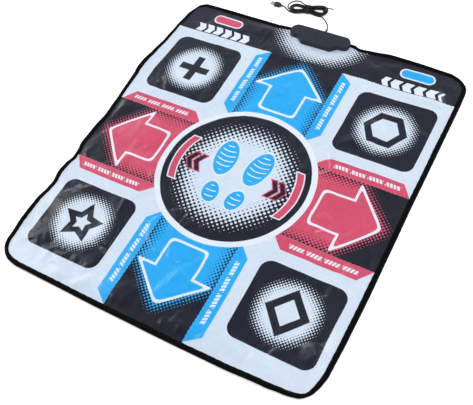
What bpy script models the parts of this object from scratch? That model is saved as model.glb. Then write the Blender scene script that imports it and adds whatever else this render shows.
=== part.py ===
"""A foam dance mat controller with a USB control box on its rear edge.

The mat lies on the floor in the XY plane, +Z up. The player faces +Y, towards the control box.
The origin is the middle of the mat's underside. Units are metres.
"""
import math

import bmesh
import bpy
from mathutils import Matrix, Vector
from mathutils.geometry import interpolate_bezier, tessellate_polygon

MM = 0.001

# Mat outline
MAT_W = 0.820
MAT_L = 0.930
MAT_CORNER_R = 0.055
REAR_Y = MAT_L / 2

# Clearance between pieces that touch, and round a step zone that moves
GAP = 0.0003
ZONE_GAP = 0.0004

# Sheets of the mat, from the floor up
BASE_T = 0.0008
FOAM_T = 0.0030
LOWER_FILM_T = 0.0003
SPACER_T = 0.0015
UPPER_FILM_T = 0.0003
COVER_T = 0.0006

# Woven binding folded round the mat's edge
BINDING_W = 0.0100
BINDING_ARM_T = 0.0010
BINDING_WEB_T = 0.0012
BINDING_ROUND = 0.0026

# Step zones, each middle set in from the mat's edges: four arrows, four corner tiles, two menu zones
ARROW_ZONE_W = 0.200
ARROW_ZONE_L = 0.182
ARROW_SIDE_X = MAT_W / 2 - 0.118
ARROW_REAR_Y = REAR_Y - 0.206
ARROW_FRONT_Y = 0.140 - REAR_Y
TILE_W = 0.204
TILE_L = 0.198
TILE_X = MAT_W / 2 - 0.138
TILE_REAR_Y = REAR_Y - 0.234
TILE_FRONT_Y = 0.165 - REAR_Y
ZONE_CORNER_R = 0.024
MENU_ZONE_W = 0.100
MENU_ZONE_L = 0.044
MENU_ZONE_X = MAT_W / 2 - 0.135
MENU_ZONE_Y = REAR_Y - 0.045
MENU_ZONE_R = 0.020
CONTACT_MARGIN = 0.006

# Control box, seen from above: a bulged front between two lobes
BOX_W = 0.172
BOX_LAP = 0.0465
BOX_OVERHANG = 0.0090
BOX_FRONT_Y = REAR_Y - BOX_LAP
BOX_REAR_Y = REAR_Y + BOX_OVERHANG
BULGE_W = 0.084
BULGE_FLANK = 0.016
LOBE_LAP = 0.0320
LOBE_FRONT_Y = REAR_Y - LOBE_LAP
BOX_TOP_Z = 0.0210
BOX_CORNER_R = 0.020
LOBE_R = 0.016
BULGE_R = 0.010
VALLEY_R = 0.008
TRAY_CORNER_R = 0.010
SHELL_WALL = 0.0020
SHELL_DRAFT = 0.0004
SHELL_EDGE = 0.0026
CLAMP_LAP = 0.0080
LIP_REACH = 0.0070
LIP_T = 0.0007
TRAY_FLOOR_T = 0.0016

# Screws that hold the box together
SCREW_R = 0.0015
SCREW_HEAD_R = 0.0027
SCREW_HEAD_T = 0.0018
SCREW_LENGTH = 0.0120
POST_R = 0.0038
SCREW_LOBE_X = 0.0680
SCREW_LOBE_Y = REAR_Y - 0.0130
SCREW_REAR_X = 0.0300
SCREW_REAR_Y = REAR_Y - 0.0010

# Circuit board and what is on it
BOARD_T = 0.0016
BOARD_HALF_W = 0.0540
BOARD_REAR_Y = REAR_Y - 0.0060
BOARD_SET_BACK = 0.0015
CHIP_SIZE = (0.0120, 0.0120, 0.0016)
CHIP_AT = (-0.0270, REAR_Y - 0.0140)
CRYSTAL_SIZE = (0.0110, 0.0046, 0.0035)
CRYSTAL_AT = (-0.0090, REAR_Y - 0.0170)
CAPACITOR_R = 0.0025
CAPACITOR_H = 0.0070
CAPACITOR_AT = (0.0240, REAR_Y - 0.0140)
SOCKET_SIZE = (0.0100, 0.0060, 0.0060)
BOARD_PIN_R = 0.0012
BOARD_PIN_AT = (0.0460, REAR_Y - 0.0110)

# Film tails and the clamp that presses them on the board
TAIL_W = 0.0240
TAIL_SPLIT = 0.0040
TAIL_LENGTH = 0.0160
CLAMP_W = 0.0700
CLAMP_L = 0.0080
CLAMP_T = 0.0022
CLAMP_SCREW_X = 0.0310
CLAMP_SCREW_R = 0.0011
CLAMP_HEAD_R = 0.0022
CLAMP_HEAD_T = 0.0014

# USB lead
CORD_R = 0.0017
EXIT_X = 0.0040
EXIT_Z = 0.0125
RELIEF_FLANGE_R = 0.0040
RELIEF_NECK_R = 0.0029
RELIEF_LENGTH = 0.0120
RELIEF_TIP_R = 0.0023
FLOOR_LIFT = 0.0001

# Hank of the lead: loops spiral in on the floor and out again on top of them
HANK_CENTRE = (-0.0810, REAR_Y + 0.0845)
HANK_TILT = math.radians(10.0)
HANK_HALF = 0.0357
HANK_END_R = 0.0194
HANK_PITCH = 0.00402
HANK_WAIST = 0.0130
HANK_WAIST_PITCH = 0.0042
HANK_TURNS = 3
HANK_LAYER = 0.00385
HANK_RUN = 0.27
HANK_WAIST_LIFT = 0.0007
LOOP_POINTS = 24
SLACK_BULGE = 0.0130
SLACK_START = 5.29
SLACK_SPAN = 0.38

# Twist tie round the hank's waist
TIE_W = 0.0050
TIE_T = 0.00045
TIE_TAIL_R = 0.0013
TIE_SLACK = 0.0006

# USB plug, lying flat on the floor and pointing to -X
PLUG_TIP_X = -0.1790
PLUG_NECK_X = -0.1545
PLUG_Y = REAR_Y + 0.0717
PLUG_Z = 0.0041
PLUG_W = 0.0156
PLUG_H = 0.0080
PLUG_NECK_R = 0.0024
PLUG_POCKET = 0.0060
USB_W = 0.0120
USB_H = 0.0045
USB_WALL = 0.0003
USB_REACH = 0.0120
TONGUE_T = 0.0018
CONTACT_W = 0.0010
CONTACT_L = 0.0065
CONTACT_T = 0.0002
CONTACT_STEP = 0.0022

# Heights that follow from the sheets
FOAM_Z = BASE_T + GAP
LOWER_FILM_Z = FOAM_Z + FOAM_T + GAP
SPACER_Z = LOWER_FILM_Z + LOWER_FILM_T + GAP
UPPER_FILM_Z = SPACER_Z + SPACER_T + GAP
COVER_Z = UPPER_FILM_Z + UPPER_FILM_T + GAP
COVER_TOP = COVER_Z + COVER_T
RIM_Z = BINDING_ARM_T + GAP
PARTING_Z = COVER_TOP
TRAY_Z = GAP
FLOOR_Z = TRAY_Z + TRAY_FLOOR_T
BOARD_Z = LOWER_FILM_Z - GAP - BOARD_T
BOARD_TOP = BOARD_Z + BOARD_T

MIN_R = 0.0004
LARGE_R = 0.030
SMALL_R = 0.005


def clear_scene():
    for thing in list(bpy.data.objects):
        bpy.data.objects.remove(thing, do_unlink=True)


def plain_material(name, colour, roughness, metallic=0.0):
    material = bpy.data.materials.new(name)
    material.use_nodes = True
    shader = material.node_tree.nodes["Principled BSDF"]
    shader.inputs["Base Color"].default_value = (*colour, 1.0)
    shader.inputs["Roughness"].default_value = roughness
    shader.inputs["Metallic"].default_value = metallic
    return material


def make_materials():
    return {
        "cover": plain_material("printed_cover", (0.80, 0.84, 0.92), 0.38),
        "blue": plain_material("zone_blue", (0.06, 0.42, 0.95), 0.38),
        "pink": plain_material("zone_pink", (0.68, 0.10, 0.19), 0.38),
        "dark": plain_material("zone_charcoal", (0.045, 0.045, 0.055), 0.42),
        "base": plain_material("base_sheet", (0.03, 0.03, 0.035), 0.75),
        "foam": plain_material("foam", (0.35, 0.36, 0.38), 0.90),
        "film": plain_material("contact_film", (0.72, 0.74, 0.72), 0.25),
        "carbon": plain_material("contact_carbon", (0.02, 0.02, 0.02), 0.55),
        "binding": plain_material("binding", (0.008, 0.008, 0.009), 0.85),
        "housing": plain_material("housing", (0.040, 0.042, 0.052), 0.50),
        "board": plain_material("board", (0.02, 0.16, 0.07), 0.40),
        "part": plain_material("board_part", (0.02, 0.02, 0.02), 0.45),
        "pale": plain_material("pale_plastic", (0.75, 0.74, 0.68), 0.45),
        "rubber": plain_material("rubber", (0.015, 0.015, 0.015), 0.70),
        "steel": plain_material("steel", (0.56, 0.56, 0.57), 0.32, 1.0),
        "gold": plain_material("contact_gold", (0.85, 0.60, 0.22), 0.25, 1.0),
        "cord": plain_material("cord_jacket", (0.010, 0.010, 0.011), 0.48),
        "tie": plain_material("tie", (0.020, 0.020, 0.022), 0.40),
    }


def new_object(name, data, material, location=(0.0, 0.0, 0.0)):
    thing = bpy.data.objects.new(name, data)
    bpy.context.scene.collection.objects.link(thing)
    thing.location = location
    if material is not None:
        data.materials.append(material)
    return thing


def mesh_object(name, verts, faces, material, location=(0.0, 0.0, 0.0)):
    """A mesh from its points and faces, with its faces turned outwards."""
    mesh = bpy.data.meshes.new(name)
    mesh.from_pydata([tuple(v) for v in verts], [], faces)
    bm = bmesh.new()
    bm.from_mesh(mesh)
    bmesh.ops.recalc_face_normals(bm, faces=bm.faces)
    bm.to_mesh(mesh)
    bm.free()
    mesh.shade_smooth()
    mesh.set_sharp_from_angle(angle=math.radians(32))
    return new_object(name, mesh, material, location)


def moved(corners, inset):
    """An outline's corners (x, y, radius), its edges moved inwards by inset, one value or one per edge."""
    count = len(corners)
    insets = inset if isinstance(inset, (list, tuple)) else [inset] * count
    points = [Vector((x, y)) for x, y, _ in corners]
    along = [(points[(i + 1) % count] - points[i]).normalized() for i in range(count)]
    result = []
    for i in range(count):
        before, after = along[i - 1], along[i]
        start = points[i] + Vector((-before.y, before.x)) * insets[i - 1]
        end = points[i] + Vector((-after.y, after.x)) * insets[i]
        cross = before.x * after.y - before.y * after.x
        step = ((end.x - start.x) * after.y - (end.y - start.y) * after.x) / cross
        corner = start + before * step
        change = min(insets[i - 1], insets[i], key=abs)
        radius = corners[i][2] - change if cross > 0 else corners[i][2] + change
        result.append((corner.x, corner.y, max(radius, MIN_R)))
    return result


def steps_for(radius):
    """How many straight pieces stand in for a corner's arc."""
    if radius >= LARGE_R:
        return 8
    return 5 if radius >= SMALL_R else 2


def corner_arc(before, corner, after, steps):
    """Points of the arc that rounds one corner of an outline."""
    point = Vector(corner[:2])
    into = (point - Vector(before[:2])).normalized()
    out = (Vector(after[:2]) - point).normalized()
    turn = math.atan2(into.x * out.y - into.y * out.x, into.dot(out))
    radius = corner[2]
    start = point - into * radius * math.tan(abs(turn) / 2)
    side = math.copysign(1.0, turn)
    centre = start + Vector((-into.y, into.x)) * side * radius
    arc = []
    for k in range(steps + 1):
        spin = Matrix.Rotation(turn * k / steps, 2)
        arc.append(centre + spin @ (start - centre))
    return arc


def rounded(corners, like=None):
    """Points round an outline; like gives the corners whose radii set how many points each arc has."""
    like = like or corners
    count = len(corners)
    loop = []
    for i in range(count):
        steps = steps_for(like[i][2])
        loop += corner_arc(corners[i - 1], corners[i], corners[(i + 1) % count], steps)
    return loop


def ring(corners, inset, z):
    """One level of a lofted form: the outline moved inwards by inset, at height z."""
    return [Vector((p.x, p.y, z)) for p in rounded(moved(corners, inset), corners)]


def loft(name, rings, material, location=(0.0, 0.0, 0.0)):
    """A closed solid through rings of equal length, capped at both ends."""
    count = len(rings[0])
    verts = [point for level in rings for point in level]
    faces = [list(range(count))]
    for level in range(len(rings) - 1):
        low, high = level * count, (level + 1) * count
        for i in range(count):
            j = (i + 1) % count
            faces.append([low + i, low + j, high + j, high + i])
    last = (len(rings) - 1) * count
    faces.append([last + i for i in reversed(range(count))])
    return mesh_object(name, verts, faces, material, location)


def plate(name, outer, holes, z, thickness, material):
    """A flat sheet from its outer outline and the outlines of its holes."""
    loops = [outer] + holes
    flat = [[Vector((p.x, p.y, 0.0)) for p in loop] for loop in loops]
    points = [p for loop in flat for p in loop]
    total = len(points)
    verts = [(p.x, p.y, z) for p in points] + [(p.x, p.y, z + thickness) for p in points]
    faces = []
    for a, b, c in tessellate_polygon(flat):
        faces += [[c, b, a], [a + total, b + total, c + total]]
    start = 0
    for loop in loops:
        for i in range(len(loop)):
            a, b = start + i, start + (i + 1) % len(loop)
            faces.append([a, b, b + total, a + total])
        start += len(loop)
    return mesh_object(name, verts, faces, material)


def revolve(name, profile, material, location, segments=20):
    """A turned solid about its own Z axis from (radius, z) points that start and end on the axis."""
    verts = [(0.0, 0.0, profile[0][1])]
    for radius, z in profile[1:-1]:
        for k in range(segments):
            angle = 2 * math.pi * k / segments
            verts.append((radius * math.cos(angle), radius * math.sin(angle), z))
    verts.append((0.0, 0.0, profile[-1][1]))
    faces = []
    for k in range(segments):
        following = (k + 1) % segments
        faces.append([0, 1 + following, 1 + k])
        for level in range(len(profile) - 3):
            low = 1 + level * segments
            high = low + segments
            faces.append([low + k, low + following, high + following, high + k])
        last = len(verts) - 1
        faces.append([last, last - segments + k, last - segments + following])
    return mesh_object(name, verts, faces, material, location)


def block(name, size, location, material, edge=0.0):
    """A box centred on location in X and Y that stands on location's height, with bevelled edges."""
    bm = bmesh.new()
    bmesh.ops.create_cube(bm, size=1.0)
    bmesh.ops.scale(bm, vec=size, verts=bm.verts)
    bmesh.ops.translate(bm, vec=(0.0, 0.0, size[2] / 2), verts=bm.verts)
    if edge:
        bmesh.ops.bevel(bm, geom=bm.edges[:], offset=edge, segments=2, affect="EDGES", profile=0.5)
    mesh = bpy.data.meshes.new(name)
    bm.to_mesh(mesh)
    bm.free()
    return new_object(name, mesh, material, location)


def cutter(thing):
    thing.hide_render = True
    thing.display_type = "WIRE"
    return thing


def combine(target, others, operation):
    """Cut solids out of the target, or join them to it, and delete what was used."""
    for other in others:
        cutter(other)
        change = target.modifiers.new(other.name, "BOOLEAN")
        change.operation = operation
        change.solver = "EXACT"
        change.object = other
        shape = target.evaluated_get(bpy.context.evaluated_depsgraph_get())
        mesh = bpy.data.meshes.new_from_object(shape)
        target.modifiers.clear()
        target.data = mesh
        weld(mesh, 0.000002)
        mesh.shade_smooth()
        mesh.set_sharp_from_angle(angle=math.radians(32))
        bpy.data.objects.remove(other, do_unlink=True)
    return target


def smooth_route(points, step):
    """Points about one step apart on a smooth curve through the route's own points."""
    route = [Vector(p) for p in points]
    ends = [route[0] * 2 - route[1]] + route + [route[-1] * 2 - route[-2]]
    curve = [route[0]]
    for before, start, end, after in zip(ends, ends[1:], ends[2:], ends[3:]):
        pieces = max(1, round((end - start).length / step))
        lean_out = start + (end - before) / 6
        lean_in = end - (after - start) / 6
        curve += interpolate_bezier(start, lean_out, lean_in, end, pieces + 1)[1:]
    return curve


def tube(name, points, radius, material, bevel_resolution):
    """A round cord along its points, with filled ends."""
    curve = bpy.data.curves.new(name, "CURVE")
    curve.dimensions = "3D"
    curve.bevel_depth = radius
    curve.bevel_resolution = bevel_resolution
    curve.use_fill_caps = True
    spline = curve.splines.new("POLY")
    spline.points.add(len(points) - 1)
    for target, point in zip(spline.points, points):
        target.co = (*point, 1.0)
    return new_object(name, curve, material)


def box_corners():
    """The control box's outline, from the rear left corner and counterclockwise."""
    half, bulge = BOX_W / 2, BULGE_W / 2
    valley = bulge + BULGE_FLANK
    valley_y = LOBE_FRONT_Y + 0.0005
    right = [
        (bulge, BOX_FRONT_Y, BULGE_R),
        (valley, valley_y, VALLEY_R),
        (half, LOBE_FRONT_Y, LOBE_R),
        (half, BOX_REAR_Y, BOX_CORNER_R),
    ]
    left = [(-x, y, r) for x, y, r in reversed(right)]
    return left + right


def tray_corners():
    """The lower shell's outline: the box's, set back under the mat at its sides and front."""
    corners = moved(box_corners(), [CLAMP_LAP] * 7 + [0.0])
    rear_left, rear_right = corners[0], corners[-1]
    corners[0] = (rear_left[0], rear_left[1], TRAY_CORNER_R)
    corners[-1] = (rear_right[0], rear_right[1], TRAY_CORNER_R)
    return corners


def mat_corners():
    """The mat's outline, counterclockwise from the front left, with the notch that the tray fills."""
    x, y, r = MAT_W / 2, REAR_Y, MAT_CORNER_R
    notch = [corner for corner in reversed(tray_corners()[1:-1])]
    mouth = notch[0][0]
    return (
        [(-x, -y, r), (x, -y, r), (x, y, r), (mouth, y, MIN_R)]
        + notch
        + [(-mouth, y, MIN_R), (-x, y, r)]
    )


def mat_insets(edge, notch):
    """One inset for the mat's own edges and another for the notch's."""
    return [edge] * 3 + [notch] * 7 + [edge] * 2


def mat_outline(edge, notch):
    corners = mat_corners()
    return rounded(moved(corners, mat_insets(edge, notch)), corners)


def zone_layout():
    """Each step zone's name, middle, width, length and corner radius."""
    zones = {}
    middle_y = (ARROW_REAR_Y + ARROW_FRONT_Y) / 2
    for name, y in (("up", ARROW_REAR_Y), ("down", ARROW_FRONT_Y)):
        zones[name] = ((0.0, y), (ARROW_ZONE_W, ARROW_ZONE_L), ZONE_CORNER_R)
    for name, x in (("left", -ARROW_SIDE_X), ("right", ARROW_SIDE_X)):
        zones[name] = ((x, middle_y), (ARROW_ZONE_L, ARROW_ZONE_W), ZONE_CORNER_R)
    for row, y in (("rear", TILE_REAR_Y), ("front", TILE_FRONT_Y)):
        for side, sign in (("left", -1), ("right", 1)):
            zones[f"{row}_{side}"] = ((sign * TILE_X, y), (TILE_W, TILE_L), ZONE_CORNER_R)
    for name, sign in (("select", -1), ("start", 1)):
        middle = (sign * MENU_ZONE_X, MENU_ZONE_Y)
        zones[name] = (middle, (MENU_ZONE_W, MENU_ZONE_L), MENU_ZONE_R)
    return zones


def zone_outline(zone, inset):
    """A step zone's outline about its own middle."""
    _, (width, length), radius = zone
    x, y = width / 2, length / 2
    corners = [(-x, -y, radius), (x, -y, radius), (x, y, radius), (-x, y, radius)]
    return rounded(moved(corners, inset), corners)


def zone_openings():
    """The openings that the step zones move in, cut in each sheet above the lower film."""
    openings = []
    for zone in zone_layout().values():
        middle = Vector(zone[0])
        openings.append([middle + p for p in reversed(zone_outline(zone, -ZONE_GAP))])
    return openings


def build_base_sheet(mats):
    """Non-slip sheet, lifted at its rim so that the binding and the tray's lip pass under it."""
    rim_in = BINDING_W + GAP
    slope_in = rim_in + 0.0015
    corners = mat_corners()
    hem = BINDING_WEB_T + GAP
    levels = [
        (slope_in, slope_in, 0.0),
        (rim_in, rim_in, RIM_Z),
        (hem, GAP, RIM_Z),
        (hem, GAP, RIM_Z + BASE_T),
        (rim_in + GAP, rim_in + GAP, RIM_Z + BASE_T),
        (slope_in + GAP, slope_in + GAP, BASE_T),
    ]
    rings = [ring(corners, mat_insets(edge, notch), z) for edge, notch, z in levels]
    return loft("base_sheet", rings, mats["base"])


def build_cushion_foam(mats):
    inset = BINDING_W + 0.0030
    plate("cushion_foam", mat_outline(inset, inset), [], FOAM_Z, FOAM_T, mats["foam"])


def film_outline(side):
    """A contact film's outline, with its tail reaching into the box on one side of the middle."""
    hem = BINDING_WEB_T + GAP
    corners = moved(mat_corners(), mat_insets(hem, GAP))
    near = side * TAIL_SPLIT / 2
    far = side * (TAIL_SPLIT / 2 + TAIL_W)
    root = corners[6][1]
    tip = root + TAIL_LENGTH
    right, left = max(near, far), min(near, far)
    tail = [(right, root, MIN_R), (right, tip, MIN_R), (left, tip, MIN_R), (left, root, MIN_R)]
    return rounded(corners[:7] + tail + corners[7:])


def build_sheets(mats):
    """Everything between the base sheet and the player's foot, apart from the step zones."""
    build_base_sheet(mats)
    build_cushion_foam(mats)
    hem = BINDING_WEB_T + GAP
    outline = mat_outline(hem, GAP)
    plate("lower_contact_film", film_outline(-1), [], LOWER_FILM_Z, LOWER_FILM_T, mats["film"])
    plate("spacer_foam", outline, zone_openings(), SPACER_Z, SPACER_T, mats["foam"])
    plate("upper_contact_film", film_outline(1), zone_openings(), UPPER_FILM_Z, UPPER_FILM_T,
          mats["film"])
    plate("top_cover", outline, zone_openings(), COVER_Z, COVER_T, mats["cover"])


def build_zones(mats):
    """Each zone is its piece of printed cover with the contact that it presses down."""
    colours = {"up": "blue", "down": "blue", "start": "blue"}
    colours.update({"left": "pink", "right": "pink", "select": "pink"})
    for name, zone in zone_layout().items():
        (x, y), _, _ = zone
        cover = plate(f"step_zone_{name}", zone_outline(zone, 0.0), [], 0.0, COVER_T,
                      mats[colours.get(name, "dark")])
        cover.location = (x, y, COVER_Z)
        contact = plate(f"upper_contact_{name}", zone_outline(zone, CONTACT_MARGIN), [], 0.0,
                        UPPER_FILM_T, mats["carbon"])
        contact.location = (x, y, UPPER_FILM_Z)


def binding_profile():
    """The binding's section as (inset from the mat's edge, height), folded like a C."""
    top = COVER_TOP + GAP + BINDING_ARM_T
    soft = BINDING_ROUND
    outer = [(BINDING_W, 0.0), (soft, 0.0)]
    for k in range(1, 4):
        angle = math.radians(90 * k / 4)
        outer.append((soft * (1 - math.sin(angle)), soft * (1 - math.cos(angle))))
    outer.append((0.0, soft))
    upper = [(inset, top - z) for inset, z in reversed(outer)]
    web = BINDING_WEB_T
    inner = [
        (BINDING_W, COVER_TOP + GAP),
        (web, COVER_TOP + GAP),
        (web, BINDING_ARM_T),
        (BINDING_W, BINDING_ARM_T),
    ]
    return outer + upper + inner


def binding_path(inset):
    """The way round the mat from one side of the notch to the other, at one inset."""
    x, y, r = MAT_W / 2, REAR_Y, MAT_CORNER_R
    corners = [(-x, y, r), (-x, -y, r), (x, -y, r), (x, y, r)]
    mouth = tray_corners()[-1][0] + ZONE_GAP
    loop = rounded(moved(corners, inset), corners)
    return [Vector((-mouth, y - inset))] + loop + [Vector((mouth, y - inset))]


def build_binding(mats):
    profile = binding_profile()
    paths = [binding_path(inset) for inset, _ in profile]
    stations = len(paths[0])
    verts = []
    for station in range(stations):
        verts += [(path[station].x, path[station].y, z) for path, (_, z) in zip(paths, profile)]
    count = len(profile)
    faces = [list(range(count)), [(stations - 1) * count + i for i in reversed(range(count))]]
    for station in range(stations - 1):
        near, far = station * count, (station + 1) * count
        for i in range(count):
            j = (i + 1) % count
            faces.append([near + i, near + j, far + j, far + i])
    mesh_object("edge_binding", verts, faces, mats["binding"])


def screw_places():
    places = []
    for x, y in ((SCREW_LOBE_X, SCREW_LOBE_Y), (SCREW_REAR_X, SCREW_REAR_Y)):
        places += [(-x, y), (x, y)]
    return places


def post(radius, low, high, place, points=16):
    """A round post or hole, for joining to a shell or cutting out of it."""
    rim = circle(radius, place, points)
    return loft("post", [[Vector((p.x, p.y, z)) for p in rim] for z in (low, high)], None)


def build_top_shell(mats):
    """The upper shell: a bulged lid with a soft upper edge, hollow below, with four screw bosses."""
    corners = box_corners()
    rim = PARTING_Z + GAP
    ceiling = BOX_TOP_Z - SHELL_WALL
    edge = SHELL_EDGE
    outside = [
        (SHELL_DRAFT + edge, BOX_TOP_Z),
        (SHELL_DRAFT + edge * 0.45, BOX_TOP_Z - edge * 0.16),
        (SHELL_DRAFT + edge * 0.12, BOX_TOP_Z - edge * 0.50),
        (SHELL_DRAFT, BOX_TOP_Z - edge),
        (0.0, rim),
    ]
    inside = [
        (SHELL_WALL, rim),
        (SHELL_WALL + SHELL_DRAFT, ceiling - edge * 0.4),
        (SHELL_WALL + SHELL_DRAFT + edge * 0.4, ceiling),
    ]
    rings = [ring(corners, inset, z) for inset, z in outside + inside]
    shell = loft("housing_top_shell", rings, mats["housing"])
    bosses = [post(POST_R, rim, ceiling + SHELL_WALL / 2, place) for place in screw_places()]
    combine(shell, bosses, "UNION")
    pilot = SCREW_R + GAP
    depth = TRAY_Z + SCREW_HEAD_T + SCREW_LENGTH + 2 * GAP
    pilots = [post(pilot, rim - SHELL_WALL, depth, place) for place in screw_places()]
    rim_hole = circle(RELIEF_NECK_R + GAP, (EXIT_X, EXIT_Z), 16)
    reach = (BOX_REAR_Y - 2 * SHELL_WALL, BOX_REAR_Y + 2 * SHELL_WALL)
    exit_hole = loft("exit_hole", [[Vector((p.x, y, p.y)) for p in rim_hole] for y in reach], None)
    relief_top = COVER_TOP + BINDING_ARM_T + 3 * GAP
    relief_y = REAR_Y - BINDING_W / 2
    arches = []
    for side in (-1, 1):
        place = (side * (BOX_W - CLAMP_LAP) / 2, relief_y, rim - SHELL_WALL)
        size = (CLAMP_LAP + 2 * SHELL_WALL, BINDING_W + 4 * GAP, relief_top - rim + SHELL_WALL)
        arches.append(block("arch", size, place, None))
    combine(shell, pilots + [exit_hole] + arches, "DIFFERENCE")


def build_bottom_shell(mats):
    """The lower shell: a tray in the mat's notch, whose front lip reaches under the mat."""
    corners = tray_corners()
    reach = [0.0] + [-LIP_REACH] * 5 + [0.0, 0.0]
    none = [0.0] * 8
    wall = [SHELL_WALL] * 8
    levels = [
        (reach, TRAY_Z),
        (reach, TRAY_Z + LIP_T),
        (none, TRAY_Z + LIP_T + GAP),
        (none, PARTING_Z),
        (wall, PARTING_Z),
        (wall, FLOOR_Z),
    ]
    tray = loft("housing_bottom_shell", [ring(corners, inset, z) for inset, z in levels],
                mats["housing"])
    bed = FLOOR_Z - TRAY_FLOOR_T / 2
    adds = [post(POST_R, bed, PARTING_Z, place) for place in screw_places()]
    clamp_y = clamp_middle()
    adds += [post(POST_R, bed, BOARD_Z - GAP, (side * CLAMP_SCREW_X, clamp_y)) for side in (-1, 1)]
    for side in (-1, 1):
        place = (side * BOARD_PIN_AT[0], BOARD_PIN_AT[1])
        adds.append(post(POST_R - MM, bed, BOARD_Z - GAP, place))
        adds.append(post(BOARD_PIN_R, bed, BOARD_TOP + MM, place))
    combine(tray, adds, "UNION")
    sink = TRAY_Z + SCREW_HEAD_T + 2 * GAP
    cuts = [post(SCREW_HEAD_R + GAP, -MM, sink, place) for place in screw_places()]
    cuts += [post(SCREW_R + GAP, sink - GAP, PARTING_Z + MM, place) for place in screw_places()]
    cuts += [
        post(CLAMP_SCREW_R + GAP, TRAY_Z + TRAY_FLOOR_T / 3, BOARD_Z, (side * CLAMP_SCREW_X, clamp_y))
        for side in (-1, 1)
    ]
    slot_w = TAIL_SPLIT + 2 * TAIL_W + 4 * GAP
    front = corners[3][1]
    slot_size = (slot_w, 3 * SHELL_WALL, PARTING_Z)
    cuts.append(block("tail_slot", slot_size, (0.0, front + SHELL_WALL / 2, BOARD_TOP), None))
    combine(tray, cuts, "DIFFERENCE")


def clamp_middle():
    """How far back the clamp bar's middle is: over the rear half of the film tails."""
    return tray_corners()[3][1] + TAIL_LENGTH - CLAMP_L * 0.75


def build_board(mats):
    """The circuit board, shaped to the bulge of the box, with its parts."""
    corners = box_corners()
    side = BOX_W / 2 - BOARD_HALF_W
    front = CLAMP_LAP + SHELL_WALL + BOARD_SET_BACK
    insets = [side] + [front] * 5 + [side, BOX_REAR_Y - BOARD_REAR_Y]
    outline = rounded(moved(corners, insets), corners)
    clamp_y = clamp_middle()
    holes = []
    for sign in (-1, 1):
        holes.append(circle(CLAMP_SCREW_R + 2 * GAP, (sign * CLAMP_SCREW_X, clamp_y)))
        holes.append(circle(BOARD_PIN_R + GAP, (sign * BOARD_PIN_AT[0], BOARD_PIN_AT[1])))
    plate("circuit_board", outline, holes, BOARD_Z, BOARD_T, mats["board"])
    seat = BOARD_TOP + GAP
    block("controller_chip", CHIP_SIZE, (*CHIP_AT, seat), mats["part"], 0.0002)
    block("crystal", CRYSTAL_SIZE, (*CRYSTAL_AT, seat), mats["steel"], 0.0008)
    top = CAPACITOR_H
    can = [(0.0, 0.0), (CAPACITOR_R, 0.0), (CAPACITOR_R, top - 2 * GAP), (CAPACITOR_R - 2 * GAP, top),
           (0.0, top)]
    revolve("capacitor", can, mats["part"], (*CAPACITOR_AT, seat))
    block("cord_socket", SOCKET_SIZE, (EXIT_X, socket_middle(), seat), mats["pale"], 0.0003)


def socket_middle():
    return BOARD_REAR_Y - SOCKET_SIZE[1] / 2 - MM


def circle(radius, middle, points=12):
    return [
        Vector((middle[0] + radius * math.cos(-2 * math.pi * k / points),
                middle[1] + radius * math.sin(-2 * math.pi * k / points)))
        for k in range(points)
    ]


def build_clamp(mats):
    """What presses the film tails on the board: a rubber strip, a contact block and a bar."""
    y = clamp_middle()
    middle = TAIL_SPLIT / 2 + TAIL_W / 2
    under = BOARD_TOP + GAP
    over_lower = LOWER_FILM_Z + LOWER_FILM_T + GAP
    bar_z = UPPER_FILM_Z + UPPER_FILM_T + GAP
    strip = (TAIL_W, CLAMP_L, bar_z - GAP - over_lower)
    block("pressure_strip", strip, (-middle, y, over_lower), mats["rubber"])
    contact = (TAIL_W, CLAMP_L, UPPER_FILM_Z - GAP - under)
    block("contact_block", contact, (middle, y, under), mats["rubber"])
    bar = block("film_clamp_bar", (CLAMP_W, CLAMP_L, CLAMP_T), (0.0, y, bar_z), mats["part"], 0.0003)
    places = [(side * CLAMP_SCREW_X, y) for side in (-1, 1)]
    combine(bar, [post(CLAMP_SCREW_R + GAP, bar_z - MM, bar_z + 2 * CLAMP_T, p) for p in places],
            "DIFFERENCE")
    head = bar_z + CLAMP_T + GAP
    low = TRAY_Z + TRAY_FLOOR_T / 3 + GAP
    profile = screw_profile(CLAMP_SCREW_R, CLAMP_HEAD_R, CLAMP_HEAD_T, head - low)
    for number, place in enumerate(places, 1):
        revolve(f"clamp_screw_{number}", profile, mats["steel"], (*place, head), 16)


def screw_profile(radius, head_r, head_t, length):
    """A pan head above z = 0 with a driver recess, and a shank with a chamfered tip below it."""
    recess_r, recess_z = head_r * 0.38, head_t * 0.5
    return [
        (0.0, -length),
        (radius * 0.5, -length),
        (radius, -length + radius),
        (radius, 0.0),
        (head_r, 0.0),
        (head_r, head_t * 0.55),
        (head_r * 0.8, head_t),
        (recess_r, head_t),
        (recess_r * 0.8, recess_z),
        (0.0, recess_z),
    ]


def build_screws(mats):
    """Four screws that go in from under the tray, heads down."""
    profile = screw_profile(SCREW_R, SCREW_HEAD_R, SCREW_HEAD_T, SCREW_LENGTH)
    for number, (x, y) in enumerate(screw_places(), 1):
        seat = TRAY_Z + SCREW_HEAD_T + GAP
        screw = revolve(f"housing_screw_{number}", profile, mats["steel"], (x, y, seat), 16)
        screw.rotation_euler = (math.radians(180), 0.0, 0.0)


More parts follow.
